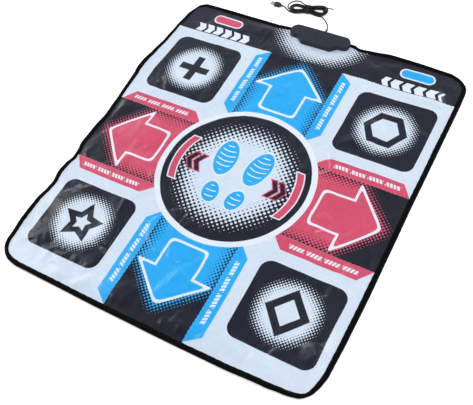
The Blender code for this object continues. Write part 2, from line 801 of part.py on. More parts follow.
def relief_profile():
    """The strain relief's section from inside the box outwards, with its groove for the wall."""
    wall_in = BOX_REAR_Y - SHELL_WALL - SHELL_DRAFT - GAP
    wall_out = BOX_REAR_Y + GAP
    collar = wall_out + 0.0016
    profile = [
        (0.0, wall_in - 0.0022),
        (RELIEF_FLANGE_R, wall_in - 0.0022),
        (RELIEF_FLANGE_R, wall_in),
        (RELIEF_NECK_R, wall_in),
        (RELIEF_NECK_R, wall_out),
        (RELIEF_FLANGE_R, wall_out),
        (RELIEF_FLANGE_R, collar),
    ]
    ribs = 4
    pitch = (RELIEF_LENGTH - 0.0016) / ribs
    for rib in range(ribs):
        share = rib / (ribs - 1)
        outer = RELIEF_NECK_R * (1 - share) + RELIEF_TIP_R * share
        start = collar + rib * pitch
        profile += [(outer - GAP, start), (outer - GAP, start + pitch * 0.4)]
        profile += [(outer + GAP, start + pitch * 0.5), (outer + GAP, start + pitch)]
    profile.append((0.0, profile[-1][1]))
    return profile


def relief_tip_y():
    return relief_profile()[-1][1]


def build_strain_relief(mats):
    profile = relief_profile()
    relief = revolve("strain_relief", profile, mats["rubber"], (EXIT_X, 0.0, EXIT_Z), 16)
    relief.rotation_euler = (math.radians(-90), 0.0, 0.0)


def hank_world(x, y, z):
    """A point from the hank's own frame, whose x runs along it, to the model's."""
    turn = Matrix.Rotation(HANK_TILT, 3, "Z")
    return turn @ Vector((x, y, z)) + Vector((*HANK_CENTRE, 0.0))


def ease(value):
    value = min(max(value, 0.0), 1.0)
    return value * value * (3 - 2 * value)


def hank_slack(turn):
    """How far the last loop stands out at the left end, and how far it has dropped to the floor."""
    share = (turn - SLACK_START) / SLACK_SPAN
    if not 0 < share < 1:
        return 0.0, 0.0
    bulge = SLACK_BULGE * math.sin(math.pi * share) ** 2
    low_share = (share - 0.125) / 0.75
    drop = HANK_LAYER * math.sin(math.pi * low_share) ** 2 if 0 < low_share < 1 else 0.0
    return bulge, drop


def hank_point(turn):
    """A point of the hank's centreline: in from the outside for HANK_TURNS turns, up, and out."""
    share = turn % 1.0
    depth = turn if turn <= HANK_TURNS else 2 * HANK_TURNS - turn
    bulge, drop = hank_slack(turn)
    radius = HANK_END_R - HANK_PITCH * depth + bulge
    waist = HANK_WAIST - HANK_WAIST_PITCH * depth
    rise = HANK_LAYER * ease((turn - HANK_TURNS + 0.25) / 0.5)
    z = CORD_R + FLOOR_LIFT + rise - drop
    arc = 0.5 - HANK_RUN
    half = share % 0.5
    side = -1 if share < 0.5 else 1
    if half < HANK_RUN:
        x = side * HANK_HALF * (2 * half / HANK_RUN - 1)
        drawn = math.cos(math.pi * x / (2 * HANK_HALF)) ** 2
        y = side * (radius + (waist - radius) * drawn)
        return Vector((x, y, z + HANK_WAIST_LIFT * drawn))
    angle = math.radians(90) - math.pi * (half - HANK_RUN) / arc
    x = side * (HANK_HALF + radius * math.cos(angle))
    y = side * radius * math.sin(angle)
    return Vector((x, y, z))


HANK_END_TURN = 2 * HANK_TURNS + HANK_RUN


def hank_points():
    """The hank from its first loop to where the tail leaves it, in the model's frame."""
    turns = [k / LOOP_POINTS for k in range(math.ceil(HANK_END_TURN * LOOP_POINTS - 0.2))]
    points = [hank_world(*hank_point(turn)) for turn in turns + [HANK_END_TURN]]
    along = (points[1] - points[0]).normalized()
    end_along = (points[-1] - points[-2]).normalized()
    return [points[0] - along * 2 * CORD_R] + points + [points[-1] + end_along * 2 * CORD_R]


def self_gap(points, radius, skip):
    """The least gap between parts of a wound tube that are over skip along it from each other."""
    fine = [points[0]]
    for a, b in zip(points, points[1:]):
        pieces = math.ceil((b - a).length / radius * 2)
        fine += [a.lerp(b, k / pieces) for k in range(1, pieces + 1)]
    places = [0.0]
    for a, b in zip(fine, fine[1:]):
        places.append(places[-1] + (b - a).length)
    least = math.inf
    for i, a in enumerate(fine):
        for j in range(i + 1, len(fine)):
            if places[j] - places[i] > skip:
                least = min(least, (fine[j] - a).length)
    return least - 2 * radius


def lead_points():
    """The free stretch from the strain relief down to the floor and on to the hank."""
    start_y = relief_tip_y() + GAP
    join = hank_points()[0]
    along = (hank_points()[1] - join).normalized()
    end = join - along * GAP
    return [
        (EXIT_X, start_y, EXIT_Z),
        (EXIT_X, start_y + 2 * CORD_R, EXIT_Z),
        (0.0016, REAR_Y + 0.0310, 0.0104),
        (-0.0024, REAR_Y + 0.0400, 0.0066),
        (-0.0085, REAR_Y + 0.0495, 0.0034),
        (-0.0165, REAR_Y + 0.0590, 0.0020),
        (-0.0245, REAR_Y + 0.0655, CORD_R + FLOOR_LIFT),
        tuple(end - along * 3 * CORD_R),
        tuple(end),
    ]


def tail_points():
    """The free stretch from the hank to the plug."""
    leave = hank_points()[-1]
    along = (leave - hank_points()[-2]).normalized()
    start = leave + along * GAP
    end_x = PLUG_NECK_X + GAP
    return [
        tuple(start),
        tuple(start + along * 2 * CORD_R),
        (-0.1285, REAR_Y + 0.0595, 0.0034),
        (-0.1370, REAR_Y + 0.0645, 0.0021),
        (-0.1440, REAR_Y + 0.0690, 0.0028),
        (end_x + 2 * CORD_R, PLUG_Y, PLUG_Z),
        (end_x, PLUG_Y, PLUG_Z),
    ]


def build_cord(mats):
    """The lead in three stretches, its hank wound, and the short end inside the box."""
    step = 5 * CORD_R
    tube("cord_lead", smooth_route(lead_points(), step), CORD_R, mats["cord"], 2)
    tube("cord_tail", smooth_route(tail_points(), step), CORD_R, mats["cord"], 2)
    hank = hank_points()
    tube("cord_hank", hank, CORD_R, mats["cord"], 1)
    gap = self_gap(hank, CORD_R, 8 * CORD_R)
    print(f"least gap of the hank to itself: {gap / MM:.2f} mm")
    inner_end = relief_profile()[0][1] - GAP
    socket_y = socket_middle() + SOCKET_SIZE[1] / 2 + GAP
    socket_z = BOARD_TOP + GAP + SOCKET_SIZE[2] / 2
    inside = [
        (EXIT_X, inner_end, EXIT_Z),
        (EXIT_X, inner_end - 2 * CORD_R, EXIT_Z - 0.0004),
        (EXIT_X, socket_y + 2 * CORD_R, socket_z + 0.0004),
        (EXIT_X, socket_y, socket_z),
    ]
    tube("cord_inner_end", smooth_route(inside, CORD_R), CORD_R, mats["cord"], 1)


def tie_section():
    """The inside of the tie's band at the hank's waist, as (y, z) with rounded corners."""
    room = CORD_R + GAP + TIE_SLACK
    waist_low = -(HANK_WAIST + HANK_WAIST_PITCH * HANK_RUN / 2) - room
    waist_high = HANK_WAIST - HANK_WAIST_PITCH * (0.5 - HANK_RUN / 2) + room
    low = FLOOR_LIFT + TIE_T
    high = CORD_R + FLOOR_LIFT + HANK_LAYER + HANK_WAIST_LIFT + CORD_R + GAP
    r = CORD_R
    return [(waist_low, low, r), (waist_high, low, r), (waist_high, high, r), (waist_low, high, r)]


def build_tie(mats):
    """A twist tie: a flat band round the waist, and its twisted ends lying over the right lobe."""
    corners = tie_section()
    half = TIE_W / 2
    verts = []
    for inset, x in ((-TIE_T, -half), (-TIE_T, half), (0.0, half), (0.0, -half)):
        loop = rounded(moved(corners, inset), corners)
        verts += [hank_world(x, p.x, p.y) for p in loop]
    count = len(verts) // 4
    faces = []
    for band in range(4):
        near, far = band * count, ((band + 1) % 4) * count
        for i in range(count):
            j = (i + 1) % count
            faces.append([near + i, near + j, far + j, far + i])
    tie = mesh_object("hank_tie", verts, faces, mats["tie"])
    rest = corners[2][1] + TIE_TAIL_R + GAP / 2
    route = [
        (0.0, 0.0028, rest),
        (half + 0.0040, 0.0034, rest),
        (0.0200, 0.0050, rest),
        (0.0400, 0.0070, rest),
        (0.0560, 0.0078, rest),
        (0.0630, 0.0080, rest - 0.0016),
        (0.0700, 0.0080, rest - 0.0042),
    ]
    world = [hank_world(*p) for p in route]
    tail = tube("tie_tail", smooth_route(world, 3 * TIE_TAIL_R), TIE_TAIL_R, None, 1)
    solid = bpy.data.meshes.new_from_object(tail.evaluated_get(bpy.context.evaluated_depsgraph_get()))
    bpy.data.objects.remove(tail, do_unlink=True)
    weld(solid, 0.00001)
    combine(tie, [new_object("tie_ends", solid, None)], "UNION")


def weld(mesh, distance):
    """Join points that fall together, so that the skin is closed."""
    bm = bmesh.new()
    bm.from_mesh(mesh)
    bmesh.ops.remove_doubles(bm, verts=bm.verts, dist=distance)
    bmesh.ops.dissolve_degenerate(bm, edges=bm.edges, dist=distance)
    bmesh.ops.recalc_face_normals(bm, faces=bm.faces)
    bm.to_mesh(mesh)
    bm.free()


def plug_ring(x, width, height, radius):
    """A section of the plug, square to X."""
    w, h = width / 2, height / 2
    corners = [(-w, -h, radius), (w, -h, radius), (w, h, radius), (-w, h, radius)]
    return [Vector((x, PLUG_Y + p.x, PLUG_Z + p.y)) for p in rounded(corners, [(0, 0, SMALL_R)] * 4)]


def build_plug(mats):
    """The USB plug: moulded grip, steel shell, tongue and its four contacts."""
    neck = 2 * PLUG_NECK_R
    body = [
        (PLUG_NECK_X, neck, neck, PLUG_NECK_R * 0.98),
        (PLUG_NECK_X - 0.0030, neck, neck, PLUG_NECK_R * 0.98),
        (PLUG_NECK_X - 0.0060, PLUG_W * 0.66, PLUG_H * 0.84, 0.0024),
        (PLUG_NECK_X - 0.0095, PLUG_W * 0.92, PLUG_H * 0.97, 0.0020),
        (PLUG_NECK_X - 0.0130, PLUG_W, PLUG_H, 0.0018),
        (PLUG_TIP_X + 0.0008, PLUG_W, PLUG_H, 0.0018),
        (PLUG_TIP_X, PLUG_W - 0.0012, PLUG_H - 0.0012, 0.0014),
    ]
    pocket_w, pocket_h = USB_W + 2 * GAP, USB_H + 2 * GAP
    pocket = [
        (PLUG_TIP_X, pocket_w, pocket_h, 0.0008),
        (PLUG_TIP_X + PLUG_POCKET, pocket_w, pocket_h, 0.0008),
    ]
    rings = [plug_ring(*level) for level in body + pocket]
    loft("usb_plug_body", rings, mats["rubber"])
    back = PLUG_TIP_X + PLUG_POCKET - GAP
    front = PLUG_TIP_X - USB_REACH
    inner_w, inner_h = USB_W - 2 * USB_WALL, USB_H - 2 * USB_WALL
    wall = [
        plug_ring(back, USB_W, USB_H, 0.0006),
        plug_ring(front, USB_W, USB_H, 0.0006),
        plug_ring(front, inner_w, inner_h, 0.0004),
        plug_ring(back, inner_w, inner_h, 0.0004),
    ]
    hollow_tube("usb_plug_shell", wall, mats["steel"])
    tongue_w = inner_w - 2 * GAP
    length = PLUG_POCKET + USB_REACH - 0.0012
    top = PLUG_Z + inner_h / 2 - GAP
    middle = (back + front) / 2 + MM / 2
    block("usb_plug_tongue", (length, tongue_w, TONGUE_T), (middle, PLUG_Y, top - TONGUE_T),
          mats["pale"])
    contact_z = top - TONGUE_T - GAP - CONTACT_T
    for number in range(4):
        y = PLUG_Y + (number - 1.5) * CONTACT_STEP
        block(f"usb_contact_{number + 1}", (CONTACT_L, CONTACT_W, CONTACT_T),
              (front + 0.0020 + CONTACT_L / 2, y, contact_z), mats["gold"])


def hollow_tube(name, rings, material):
    """A tube open at both ends, from its rings in order round the wall."""
    count = len(rings[0])
    verts = [p for level in rings for p in level]
    faces = []
    for level in range(len(rings)):
        near, far = level * count, ((level + 1) % len(rings)) * count
        for i in range(count):
            j = (i + 1) % count
            faces.append([near + i, near + j, far + j, far + i])
    return mesh_object(name, verts, faces, material)


def main():
    clear_scene()
    mats = make_materials()
    build_sheets(mats)
    build_zones(mats)
    build_binding(mats)
    build_top_shell(mats)
    build_bottom_shell(mats)
    build_screws(mats)
    build_board(mats)
    build_clamp(mats)
    build_strain_relief(mats)
    build_cord(mats)
    build_tie(mats)
    build_plug(mats)


main()
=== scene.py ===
"""Dance mat controller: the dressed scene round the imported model.

Lengths are metres, unless a name or a comment says mm. The origin is the middle of the mat on the
floor, +Y is the edge with the control box, and the printed cover is up.
"""

import math
from functools import partialmethod

import bmesh
import bpy
import numpy as np
from mathutils import Matrix, Vector


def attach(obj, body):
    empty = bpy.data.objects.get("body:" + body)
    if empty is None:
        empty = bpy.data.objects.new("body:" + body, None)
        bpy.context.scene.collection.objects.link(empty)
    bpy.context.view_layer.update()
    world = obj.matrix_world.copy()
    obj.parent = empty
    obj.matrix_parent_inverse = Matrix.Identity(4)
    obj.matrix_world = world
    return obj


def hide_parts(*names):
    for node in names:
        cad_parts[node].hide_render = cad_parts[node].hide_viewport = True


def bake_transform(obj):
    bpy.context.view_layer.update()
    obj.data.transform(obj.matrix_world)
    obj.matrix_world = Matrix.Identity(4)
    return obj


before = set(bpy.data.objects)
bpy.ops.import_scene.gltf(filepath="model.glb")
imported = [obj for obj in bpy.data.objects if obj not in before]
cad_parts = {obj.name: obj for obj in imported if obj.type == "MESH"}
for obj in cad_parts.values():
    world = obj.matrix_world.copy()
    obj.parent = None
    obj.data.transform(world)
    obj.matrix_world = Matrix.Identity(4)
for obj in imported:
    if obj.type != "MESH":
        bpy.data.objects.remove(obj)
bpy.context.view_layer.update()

MM = 0.001
TURN = 2 * math.pi

# The mat, as in the model
MAT_X = 0.410
MAT_Y = 0.465
MAT_R = 0.055
COVER_TOP = 0.0080
COVER_SKIN = 0.0004

# Each step zone's middle and half sizes, how far in its sheet starts, and how wide its rim is
ARROW, MENU = (0.00703, 0.0130), (0.00586, 0.0080)
ZONES = {
    "up": (0.0, 0.259, 0.100, 0.091, *ARROW),
    "down": (0.0, -0.325, 0.100, 0.091, *ARROW),
    "left": (-0.292, -0.033, 0.091, 0.100, *ARROW),
    "right": (0.292, -0.033, 0.091, 0.100, *ARROW),
    "rear_left": (-0.272, 0.231, 0.102, 0.099, *ARROW),
    "rear_right": (0.272, 0.231, 0.102, 0.099, *ARROW),
    "front_left": (-0.272, -0.300, 0.102, 0.099, *ARROW),
    "front_right": (0.272, -0.300, 0.102, 0.099, *ARROW),
    "select": (-0.275, 0.420, 0.050, 0.022, *MENU),
    "start": (0.275, 0.420, 0.050, 0.022, *MENU),
}


def link(name, data):
    thing = bpy.data.objects.new(name, data)
    bpy.context.scene.collection.objects.link(thing)
    return thing


# Camera

def make_camera():
    data = bpy.data.cameras.new("camera")
    data.sensor_width = 36.0
    data.lens = 54.706
    data.shift_x = 0.0203
    data.shift_y = 0.0048
    data.clip_start = 0.01
    data.clip_end = 100.0
    camera = link("camera", data)
    right = (0.867988, 0.480017, -0.127204)
    down = (0.344562, -0.766629, -0.541809)
    ahead = (-0.357596, 0.426454, -0.830821)
    place = (0.62500, -0.83000, 1.40100)
    rows = [[right[i], -down[i], -ahead[i], place[i]] for i in range(3)] + [[0, 0, 0, 1]]
    camera.matrix_world = Matrix(rows)
    bpy.context.scene.camera = camera
    bpy.context.scene.view_settings.view_transform = "Standard"


make_camera()


# Shader arithmetic

# How wide a drawn edge is, in mm
SOFT_EDGE = 0.9


def feed(socket, value):
    """Link a field to a socket, or else set the socket's own value."""
    if isinstance(value, Field):
        value.tree.links.new(value.socket, socket)
    elif value is not None:
        socket.default_value = value


class Field:
    """What a shader works out at each place, with the usual arithmetic for numbers."""

    def __init__(self, tree, socket):
        self.tree, self.socket = tree, socket

    def math(self, kind, *others, clamp=False):
        node = self.tree.nodes.new("ShaderNodeMath")
        node.operation = kind
        node.use_clamp = clamp
        for socket, value in zip(node.inputs, (self,) + others):
            feed(socket, value)
        return Field(self.tree, node.outputs[0])

    __add__ = __radd__ = partialmethod(math, "ADD")
    __sub__ = partialmethod(math, "SUBTRACT")
    __rsub__ = partialmethod(math, "MULTIPLY_ADD", -1.0)
    __mul__ = __rmul__ = partialmethod(math, "MULTIPLY")
    __truediv__ = partialmethod(math, "DIVIDE")
    __abs__ = partialmethod(math, "ABSOLUTE")
    most = partialmethod(math, "MAXIMUM")
    least = partialmethod(math, "MINIMUM")
    over = partialmethod(math, "GREATER_THAN")
    fract = partialmethod(math, "FRACT")
    cos = partialmethod(math, "COSINE")
    sin = partialmethod(math, "SINE")
    root = partialmethod(math, "SQRT")

    def ramp(self, low, high):
        """From 0 at low to 1 at high, and level beyond."""
        scale = 1.0 / (high - low)
        return self.math("MULTIPLY_ADD", scale, -low * scale, clamp=True)

    def inside(self):
        """1 where a distance is below nought, with a soft edge."""
        return self.math("MULTIPLY_ADD", -1.0 / SOFT_EDGE, 0.5, clamp=True)

    def mix(self, other, share):
        """This where share is 0, the other where it is 1."""
        node = self.tree.nodes.new("ShaderNodeMix")
        for socket, value in zip(node.inputs[:4], (share, None, self, other)):
            feed(socket, value)
        return Field(self.tree, node.outputs[0])


def length(a, b):
    return (a * a + b * b).root()


class Shader:
    """The nodes of a material or a world, with short names for what is used here."""

    def __init__(self, owner, surface="BSDF_PRINCIPLED", place="Object"):
        owner.use_nodes = True
        self.owner, self.tree = owner, owner.node_tree
        self.surface = next(node for node in self.tree.nodes if node.type == surface)
        self.place = self.node("TexCoord", out=place)

    def node(self, kind, inputs=(), out=0, **settings):
        """One output of a new node."""
        node = self.tree.nodes.new("ShaderNode" + kind)
        for key, value in settings.items():
            setattr(node, key, value)
        for key, value in dict(inputs).items():
            feed(node.inputs[key], value)
        return Field(self.tree, node.outputs[out])

    def outputs(self, kind, names, inputs=()):
        """Several outputs of one new node."""
        node = self.node(kind, inputs).socket.node
        return [Field(self.tree, node.outputs[name]) for name in names]

    def axes(self, at=None):
        """A place's x, y and z."""
        return self.outputs("SeparateXYZ", range(3), {0: at or self.place})

    def set(self, **values):
        for key, value in values.items():
            feed(self.surface.inputs[key.replace("_", " ")], value)

    def noise(self, scale, detail=3.0, roughness=0.55, at=None, out="Fac"):
        return self.node("TexNoise", {"Vector": at or self.place, "Scale": scale,
                                      "Detail": detail, "Roughness": roughness}, out)

    def shaken(self, at, reach, *noise):
        """A place moved about by a noise, as far as its reach."""
        shift = self.noise(*noise, at=at, out="Color")
        return self.node("VectorMath", {0: shift, 1: (reach, reach, 0.0), 2: at},
                         operation="MULTIPLY_ADD")

    def colours(self, share, low, high, kind="MIX"):
        """A colour between two, by a share from 0 to 1."""
        return self.node("Mix", {0: share, 6: low, 7: high}, 2, data_type="RGBA",
                         blend_type=kind)

    def bump(self, height, distance, strength=1.0):
        self.set(Normal=self.node("Bump", {"Height": height, "Distance": distance,
                                           "Strength": strength}))


def rgb(*levels):
    """A colour as it shows on a screen, from 0 to 255, as the shader's numbers."""
    shares = [level / 255 for level in levels]
    return [v / 12.92 if v <= 0.04045 else ((v + 0.055) / 1.055) ** 2.4 for v in shares] + [1.0]


# The print on the cover, in mm

WHITE = rgb(219, 230, 242)
MARK = rgb(236, 241, 249)
DARK = rgb(17, 20, 37)
PINK = rgb(218, 78, 106)
BLUE = rgb(28, 175, 246)

ART_X = 3.0
DRIFT = 3.0
DISC_Y = -34.0
DISC_R = 183.0
RING_R, RING_HALF = 190.0, 7.0
TILE_X, TILE_REAR, TILE_FRONT = 270.5, 231.0, -300.0
TILE_WIDE, TILE_TALL, TILE_R = 102.0, 99.0, 26.0
# The bars beside an arrow, and the arrow's tip with the slant of its head
BAR_AT, BAR_HALF = 119.0, 17.0
TIP, SLANT_A, SLANT_B = 362.0, 0.735, 0.677
BAND_Y = 359.5
# Half a sole's or heel's width and length
SOLE, HEEL = (29.0, 52.0), (21.0, 28.0)
DOT_SHARP = 7.0


def halftone(x, y, repeat, cover):
    """Dark squares on a slanted lattice that grow with cover, as a share from 0 to 1."""
    a = ((x + y) / repeat * TURN).cos()
    b = ((x - y) / repeat * TURN).cos()
    wave = (a + b).math("MULTIPLY_ADD", 0.25, 0.5)
    grown = cover * (1 + 1 / DOT_SHARP) - wave
    return grown.math("MULTIPLY_ADD", DOT_SHARP, 0.0, clamp=True)


def star(x, y, outer, inner):
    """The distance from the rim of a five-pointed star with a point up."""
    half = TURN / 10
    angle = x.math("ARCTAN2", y) + half
    local = abs(angle.math("FLOORED_MODULO", 2 * half) - half)
    r = length(x, y)
    rim = Vector((inner * math.cos(half) - outer, inner * math.sin(half))).normalized()
    return r * local.cos() * rim.y + r * local.sin() * -rim.x - outer * rim.y


def print_material():
    """Satin printed vinyl: one drawing over the whole cover, worked out from the place alone."""
    s = Shader(bpy.data.materials.new("printed_vinyl"))
    # The print lies a little unevenly, as the sheet does
    scaled = s.node("VectorMath", {0: s.place, 1: (1000.0, 1000.0, 0.0)}, operation="MULTIPLY")
    x, y, _ = s.axes(s.shaken(scaled, DRIFT, 0.011, 1.0, 0.5))
    x, y = x - (ART_X + DRIFT / 2), y - DRIFT / 2
    x = x - y.ramp(190, 320) * (x * -1.0).ramp(165, 390) * 10.0

    side = x.over(0.0)
    dx, dy = abs(x), y - DISC_Y
    ady = abs(dy)
    upright = ady.over(dx)
    a, b = dx.most(ady), dx.least(ady)
    r = length(dx, dy)

    # Arrow panels and their bars, folded on to one
    slope = (a + (b * b + 64.0).root() * 0.921 - 371.5) * SLANT_A
    head = slope.math("SMOOTH_MAX", 287.0 - a, 11.0)
    stem = (b - 49.0).math("SMOOTH_MAX", 212.0 - a, 22.0).most(a - 300.0)
    arrow = head.least(stem)
    longer = (y.over(-300.0) * -24.0 + 24.0) * upright
    bar_end = (a + b * 0.765 - 474.0 - longer) * 0.794
    bar = (abs(b - BAR_AT) - BAR_HALF).most(bar_end).most((b + 53.0 - a) * 0.707)
    inner = (b - (BAR_AT - BAR_HALF)).most(RING_R + RING_HALF - r)
    panel = bar.least(inner).inside()
    past = (a - TIP) * -SLANT_B + b * SLANT_A
    facing = (a - TIP) * SLANT_A + b * SLANT_B
    glow = length(past.least(0.0), facing.most(0.0)) + facing.least(0.0)
    gloom = glow.ramp(-12.0, 36.0).most(b.ramp(65.0, 103.0) * 0.62)

    # Corner tiles with their halos
    upper = y.over((TILE_REAR + TILE_FRONT) / 2)
    tx = dx - TILE_X
    ty = y - TILE_FRONT - upper * (TILE_REAR - TILE_FRONT)
    fx, fy = abs(tx), abs(ty)
    tile = length((fx - (TILE_WIDE - TILE_R)).most(0.0), (fy - (TILE_TALL - TILE_R)).most(0.0))
    in_tile = (tile - TILE_R).inside()
    halo = length(tx, ty)

    # The band along the edge with the box, and the burst round the box
    in_band = (BAND_Y + side * 3.0 - y).inside()
    off_band = 1.0 - in_band
    burst = length(x - 3.0, (y - 449.0) * 1.42)

    # Dark ink, as a share of each place
    in_disc = (r - DISC_R).inside()
    cover = in_tile * halo.ramp(48.0, 85.0)
    cover = cover.mix(gloom * (1.0 - arrow.inside()), inner.inside())
    cover = cover.mix(burst.ramp(71.0, 143.0), in_band)
    cover = cover.mix(r.ramp(88.0, 163.0), in_disc)
    repeat = (10.2 - in_tile * 1.7).mix(14.3, in_disc)
    ink = halftone(x, y, repeat, cover)

    # White lines and marks
    lines = (abs(arrow) - 3.0).inside() * inner.inside() * off_band
    dashes = (a / 8.5 + b * 0.05).fract().over(0.30) * ((a - 198.0) / 42.5).fract().over(0.13)
    dashes = dashes * (abs(b - 119.5) - 5.2).inside() * (abs(a - 284.0) - 84.0).inside()
    ring = abs(r - RING_R) - RING_HALF
    sx = dx - (261.5 + side * 21.0)
    sy = y - (376.5 + side * 2.0)
    chevron = sx - abs(sy) * 0.55
    row = (chevron / (28.6 + side * 2.2) + 0.14).fract().over(0.28)
    row = row * (abs(sy) - 14.2).inside() * (abs(chevron + 4.0) - (85.5 - side * 8.0)).inside()
    ox, oy = abs(dx - (271.0 + side * 10.0)), y - (419.0 + side * 2.0)
    oval = length((ox - 30.0).most(0.0), oy) - 11.8
    marks = lines.most(dashes * off_band).most(ring.inside()).most(row).most((oval - 4.2).inside())

    # Dark signs on the halos
    plus = (fx - 42.0).most(fy - 10.0).least((fx - 10.0).most(fy - 42.0)) - 0.5
    hexagon = abs((fx * 0.866 + fy * 0.5).most(fy) - 40.0) - 8.5
    diamond = abs(fx * 0.74 + fy * 0.67 - 31.0) - 8.5
    points = abs(star(tx, ty + 1.0, 60.0, 31.0) + 9.0) - 7.5
    sign = points.mix(diamond, side).mix(plus.mix(hexagon, side), upper)

    # The middle: a pair of soles, with arcs and chevrons at their sides
    px = dx - 41.0 - dy * 0.10
    sole = (length(px / SOLE[0], (dy - 38.0) / SOLE[1]) - 1.0) * SOLE[0]
    heel = (length((px + 2.0) / HEEL[0], (dy + 64.0) / HEEL[1]) - 1.0) * HEEL[0]
    foot = sole.math("SMOOTH_MIN", heel, 22.0)
    tread = ((dy - px * px * 0.012) / 15.0).fract().over(0.80) * (foot + 7.0).inside()
    arc = (abs(r - 157.0) - 8.0).most(ady - 66.0)
    pointed = dx + ady * 0.6
    arrowhead = (abs(abs(pointed - 119.0) - 10.0) - 6.0).most(ady - 24.0)

    # Layers of ink from the ground up
    colour = s.colours(panel * off_band, WHITE, s.colours(upright, PINK, BLUE))
    for share, paint in (
            (ink, DARK), (marks, MARK), (oval.inside(), s.colours(side, PINK, BLUE)),
            (sign.inside() * in_tile, DARK), ((arc - 3.0).inside(), MARK), (arc.inside(), PINK),
            ((arrowhead - 3.0).inside(), PINK), (arrowhead.inside(), DARK),
            ((foot - 2.5).inside(), MARK), (foot.inside(), BLUE), (tread, MARK)):
        colour = s.colours(share, colour, paint)

    # The vinyl itself: faint blotches, painted shade along its creases, and a fine grain
    bent = s.shaken(s.place, 0.035, 14.0, 2.0)
    cells = [s.node("TexVoronoi", {"Vector": bent, "Scale": scale}, "Distance",
                    feature="DISTANCE_TO_EDGE") for scale in (38.0, 83.0)]
    patch = s.noise(5.0, 2.0).ramp(0.36, 0.66)
    cloud = s.noise(9.0, 4.0, 0.6).ramp(0.25, 0.75)
    # Painted shade: the colour is darker along the creases that the bump below raises, most in
    # patches
    crease_shade = cells[0].ramp(0.09, 0.0) * (patch * 0.26 + 0.04) * (ink * 0.6 + panel * 0.5 + 0.5)
    blotches_and_crease_shade = cloud * 0.6 + 0.4 - crease_shade
    tint = s.colours(blotches_and_crease_shade, (0.84, 0.85, 0.88, 1.0), (1.0, 1.0, 1.0, 1.0))
    wear = s.noise(45.0, 5.0, 0.62)
    s.set(Base_Color=s.colours(1.0, colour, tint, "MULTIPLY"), Specular_IOR_Level=0.45,
          Roughness=wear * 0.12 + blotches_and_crease_shade * -0.04 + ink * -0.04 + 0.25)
    # Small creases where the sheet has been folded and trodden, in metres
    crease = (cells[0] * 0.0010 + cells[1] * 0.00022) * (patch * 0.7 + 0.3)
    s.bump(crease + wear * 0.00009 + s.noise(900.0, 2.0, 0.5) * 0.00002, 1.0)
    return s.owner


# Other materials

def blended(name, low, high, scale, rough, bumps, stretch=None, **more):
    """A finish whose tone, gloss and relief vary: bumps is (scale, distance, strength)."""
    s = Shader(bpy.data.materials.new(name))
    at = s.node("Mapping", {"Vector": s.place, "Scale": stretch}) if stretch else None
    cloud = s.noise(scale, 4.0, 0.6, at).ramp(0.3, 0.7)
    s.set(Base_Color=s.colours(cloud, rgb(*low), rgb(*high)),
          Roughness=cloud * (rough[1] - rough[0]) + rough[0], **more)
    s.bump(s.noise(bumps[0], 3.0, 0.6, at), *bumps[1:])
    return s.owner


def spark_plastic():
    """Moulded plastic with a fine spark texture, a little shinier where it is handled."""
    s = Shader(bpy.data.materials.new("spark_plastic"))
    pits = s.node("TexVoronoi", {"Vector": s.place, "Scale": 1300.0}, "Distance")
    cloud = s.noise(28.0, 4.0).ramp(0.3, 0.7)
    s.set(Base_Color=s.colours(cloud, rgb(31, 34, 47), rgb(39, 42, 55)),
          Roughness=cloud * 0.08 + 0.40, Specular_IOR_Level=0.27)
    s.bump(pits * 0.7 + s.noise(2400.0, 2.0) * 0.5, 0.00008, 0.55)
    return s.owner


def woven_tape(pitch=0.0013):
    """A plain weave with its threads a pitch apart."""
    s = Shader(bpy.data.materials.new("woven_tape"))
    x, y, z = s.axes()
    weft = ((x + z) * (TURN / pitch)).cos()
    warp = ((y + z * 0.5) * (TURN / pitch)).cos()
    weave = (weft * warp) * 0.5 + 0.5
    cloud = s.noise(30.0, 4.0).ramp(0.3, 0.75)
    s.set(Base_Color=s.colours(weave * 0.55 + cloud * 0.45, rgb(3, 3, 4), rgb(13, 13, 15)),
          Roughness=0.85, Specular_IOR_Level=0.08)
    s.bump(weave * 0.75 + s.noise(700.0, 3.0) * 0.5, 0.00022, 0.7)
    return s.owner


def nonslip(pitch=0.006):
    """Dark rubbery underside with raised dots in rows."""
    s = Shader(bpy.data.materials.new("nonslip_base"))
    x, y, _ = s.axes()
    dots = ((x * (TURN / pitch)).cos() + (y * (TURN / pitch)).cos()).ramp(0.6, 1.5)
    tone = s.noise(14.0, 4.0).ramp(0.3, 0.7).mix(1.0, dots * 0.5)
    s.set(Base_Color=s.colours(tone, rgb(40, 40, 44), rgb(62, 62, 68)), Roughness=0.75)
    s.bump(dots + s.noise(500.0, 3.0) * 0.2, 0.0004, 0.8)
    return s.owner


def open_foam():
    s = Shader(bpy.data.materials.new("open_foam"))
    cells = s.node("TexVoronoi", {"Vector": s.place, "Scale": 900.0}, "Distance")
    tone = cells * 0.6 + s.noise(25.0, 4.0).ramp(0.3, 0.7) * 0.4
    s.set(Base_Color=s.colours(tone, rgb(120, 122, 128), rgb(168, 170, 175)), Roughness=0.9)
    s.bump(cells, 0.0006, 0.8)
    return s.owner


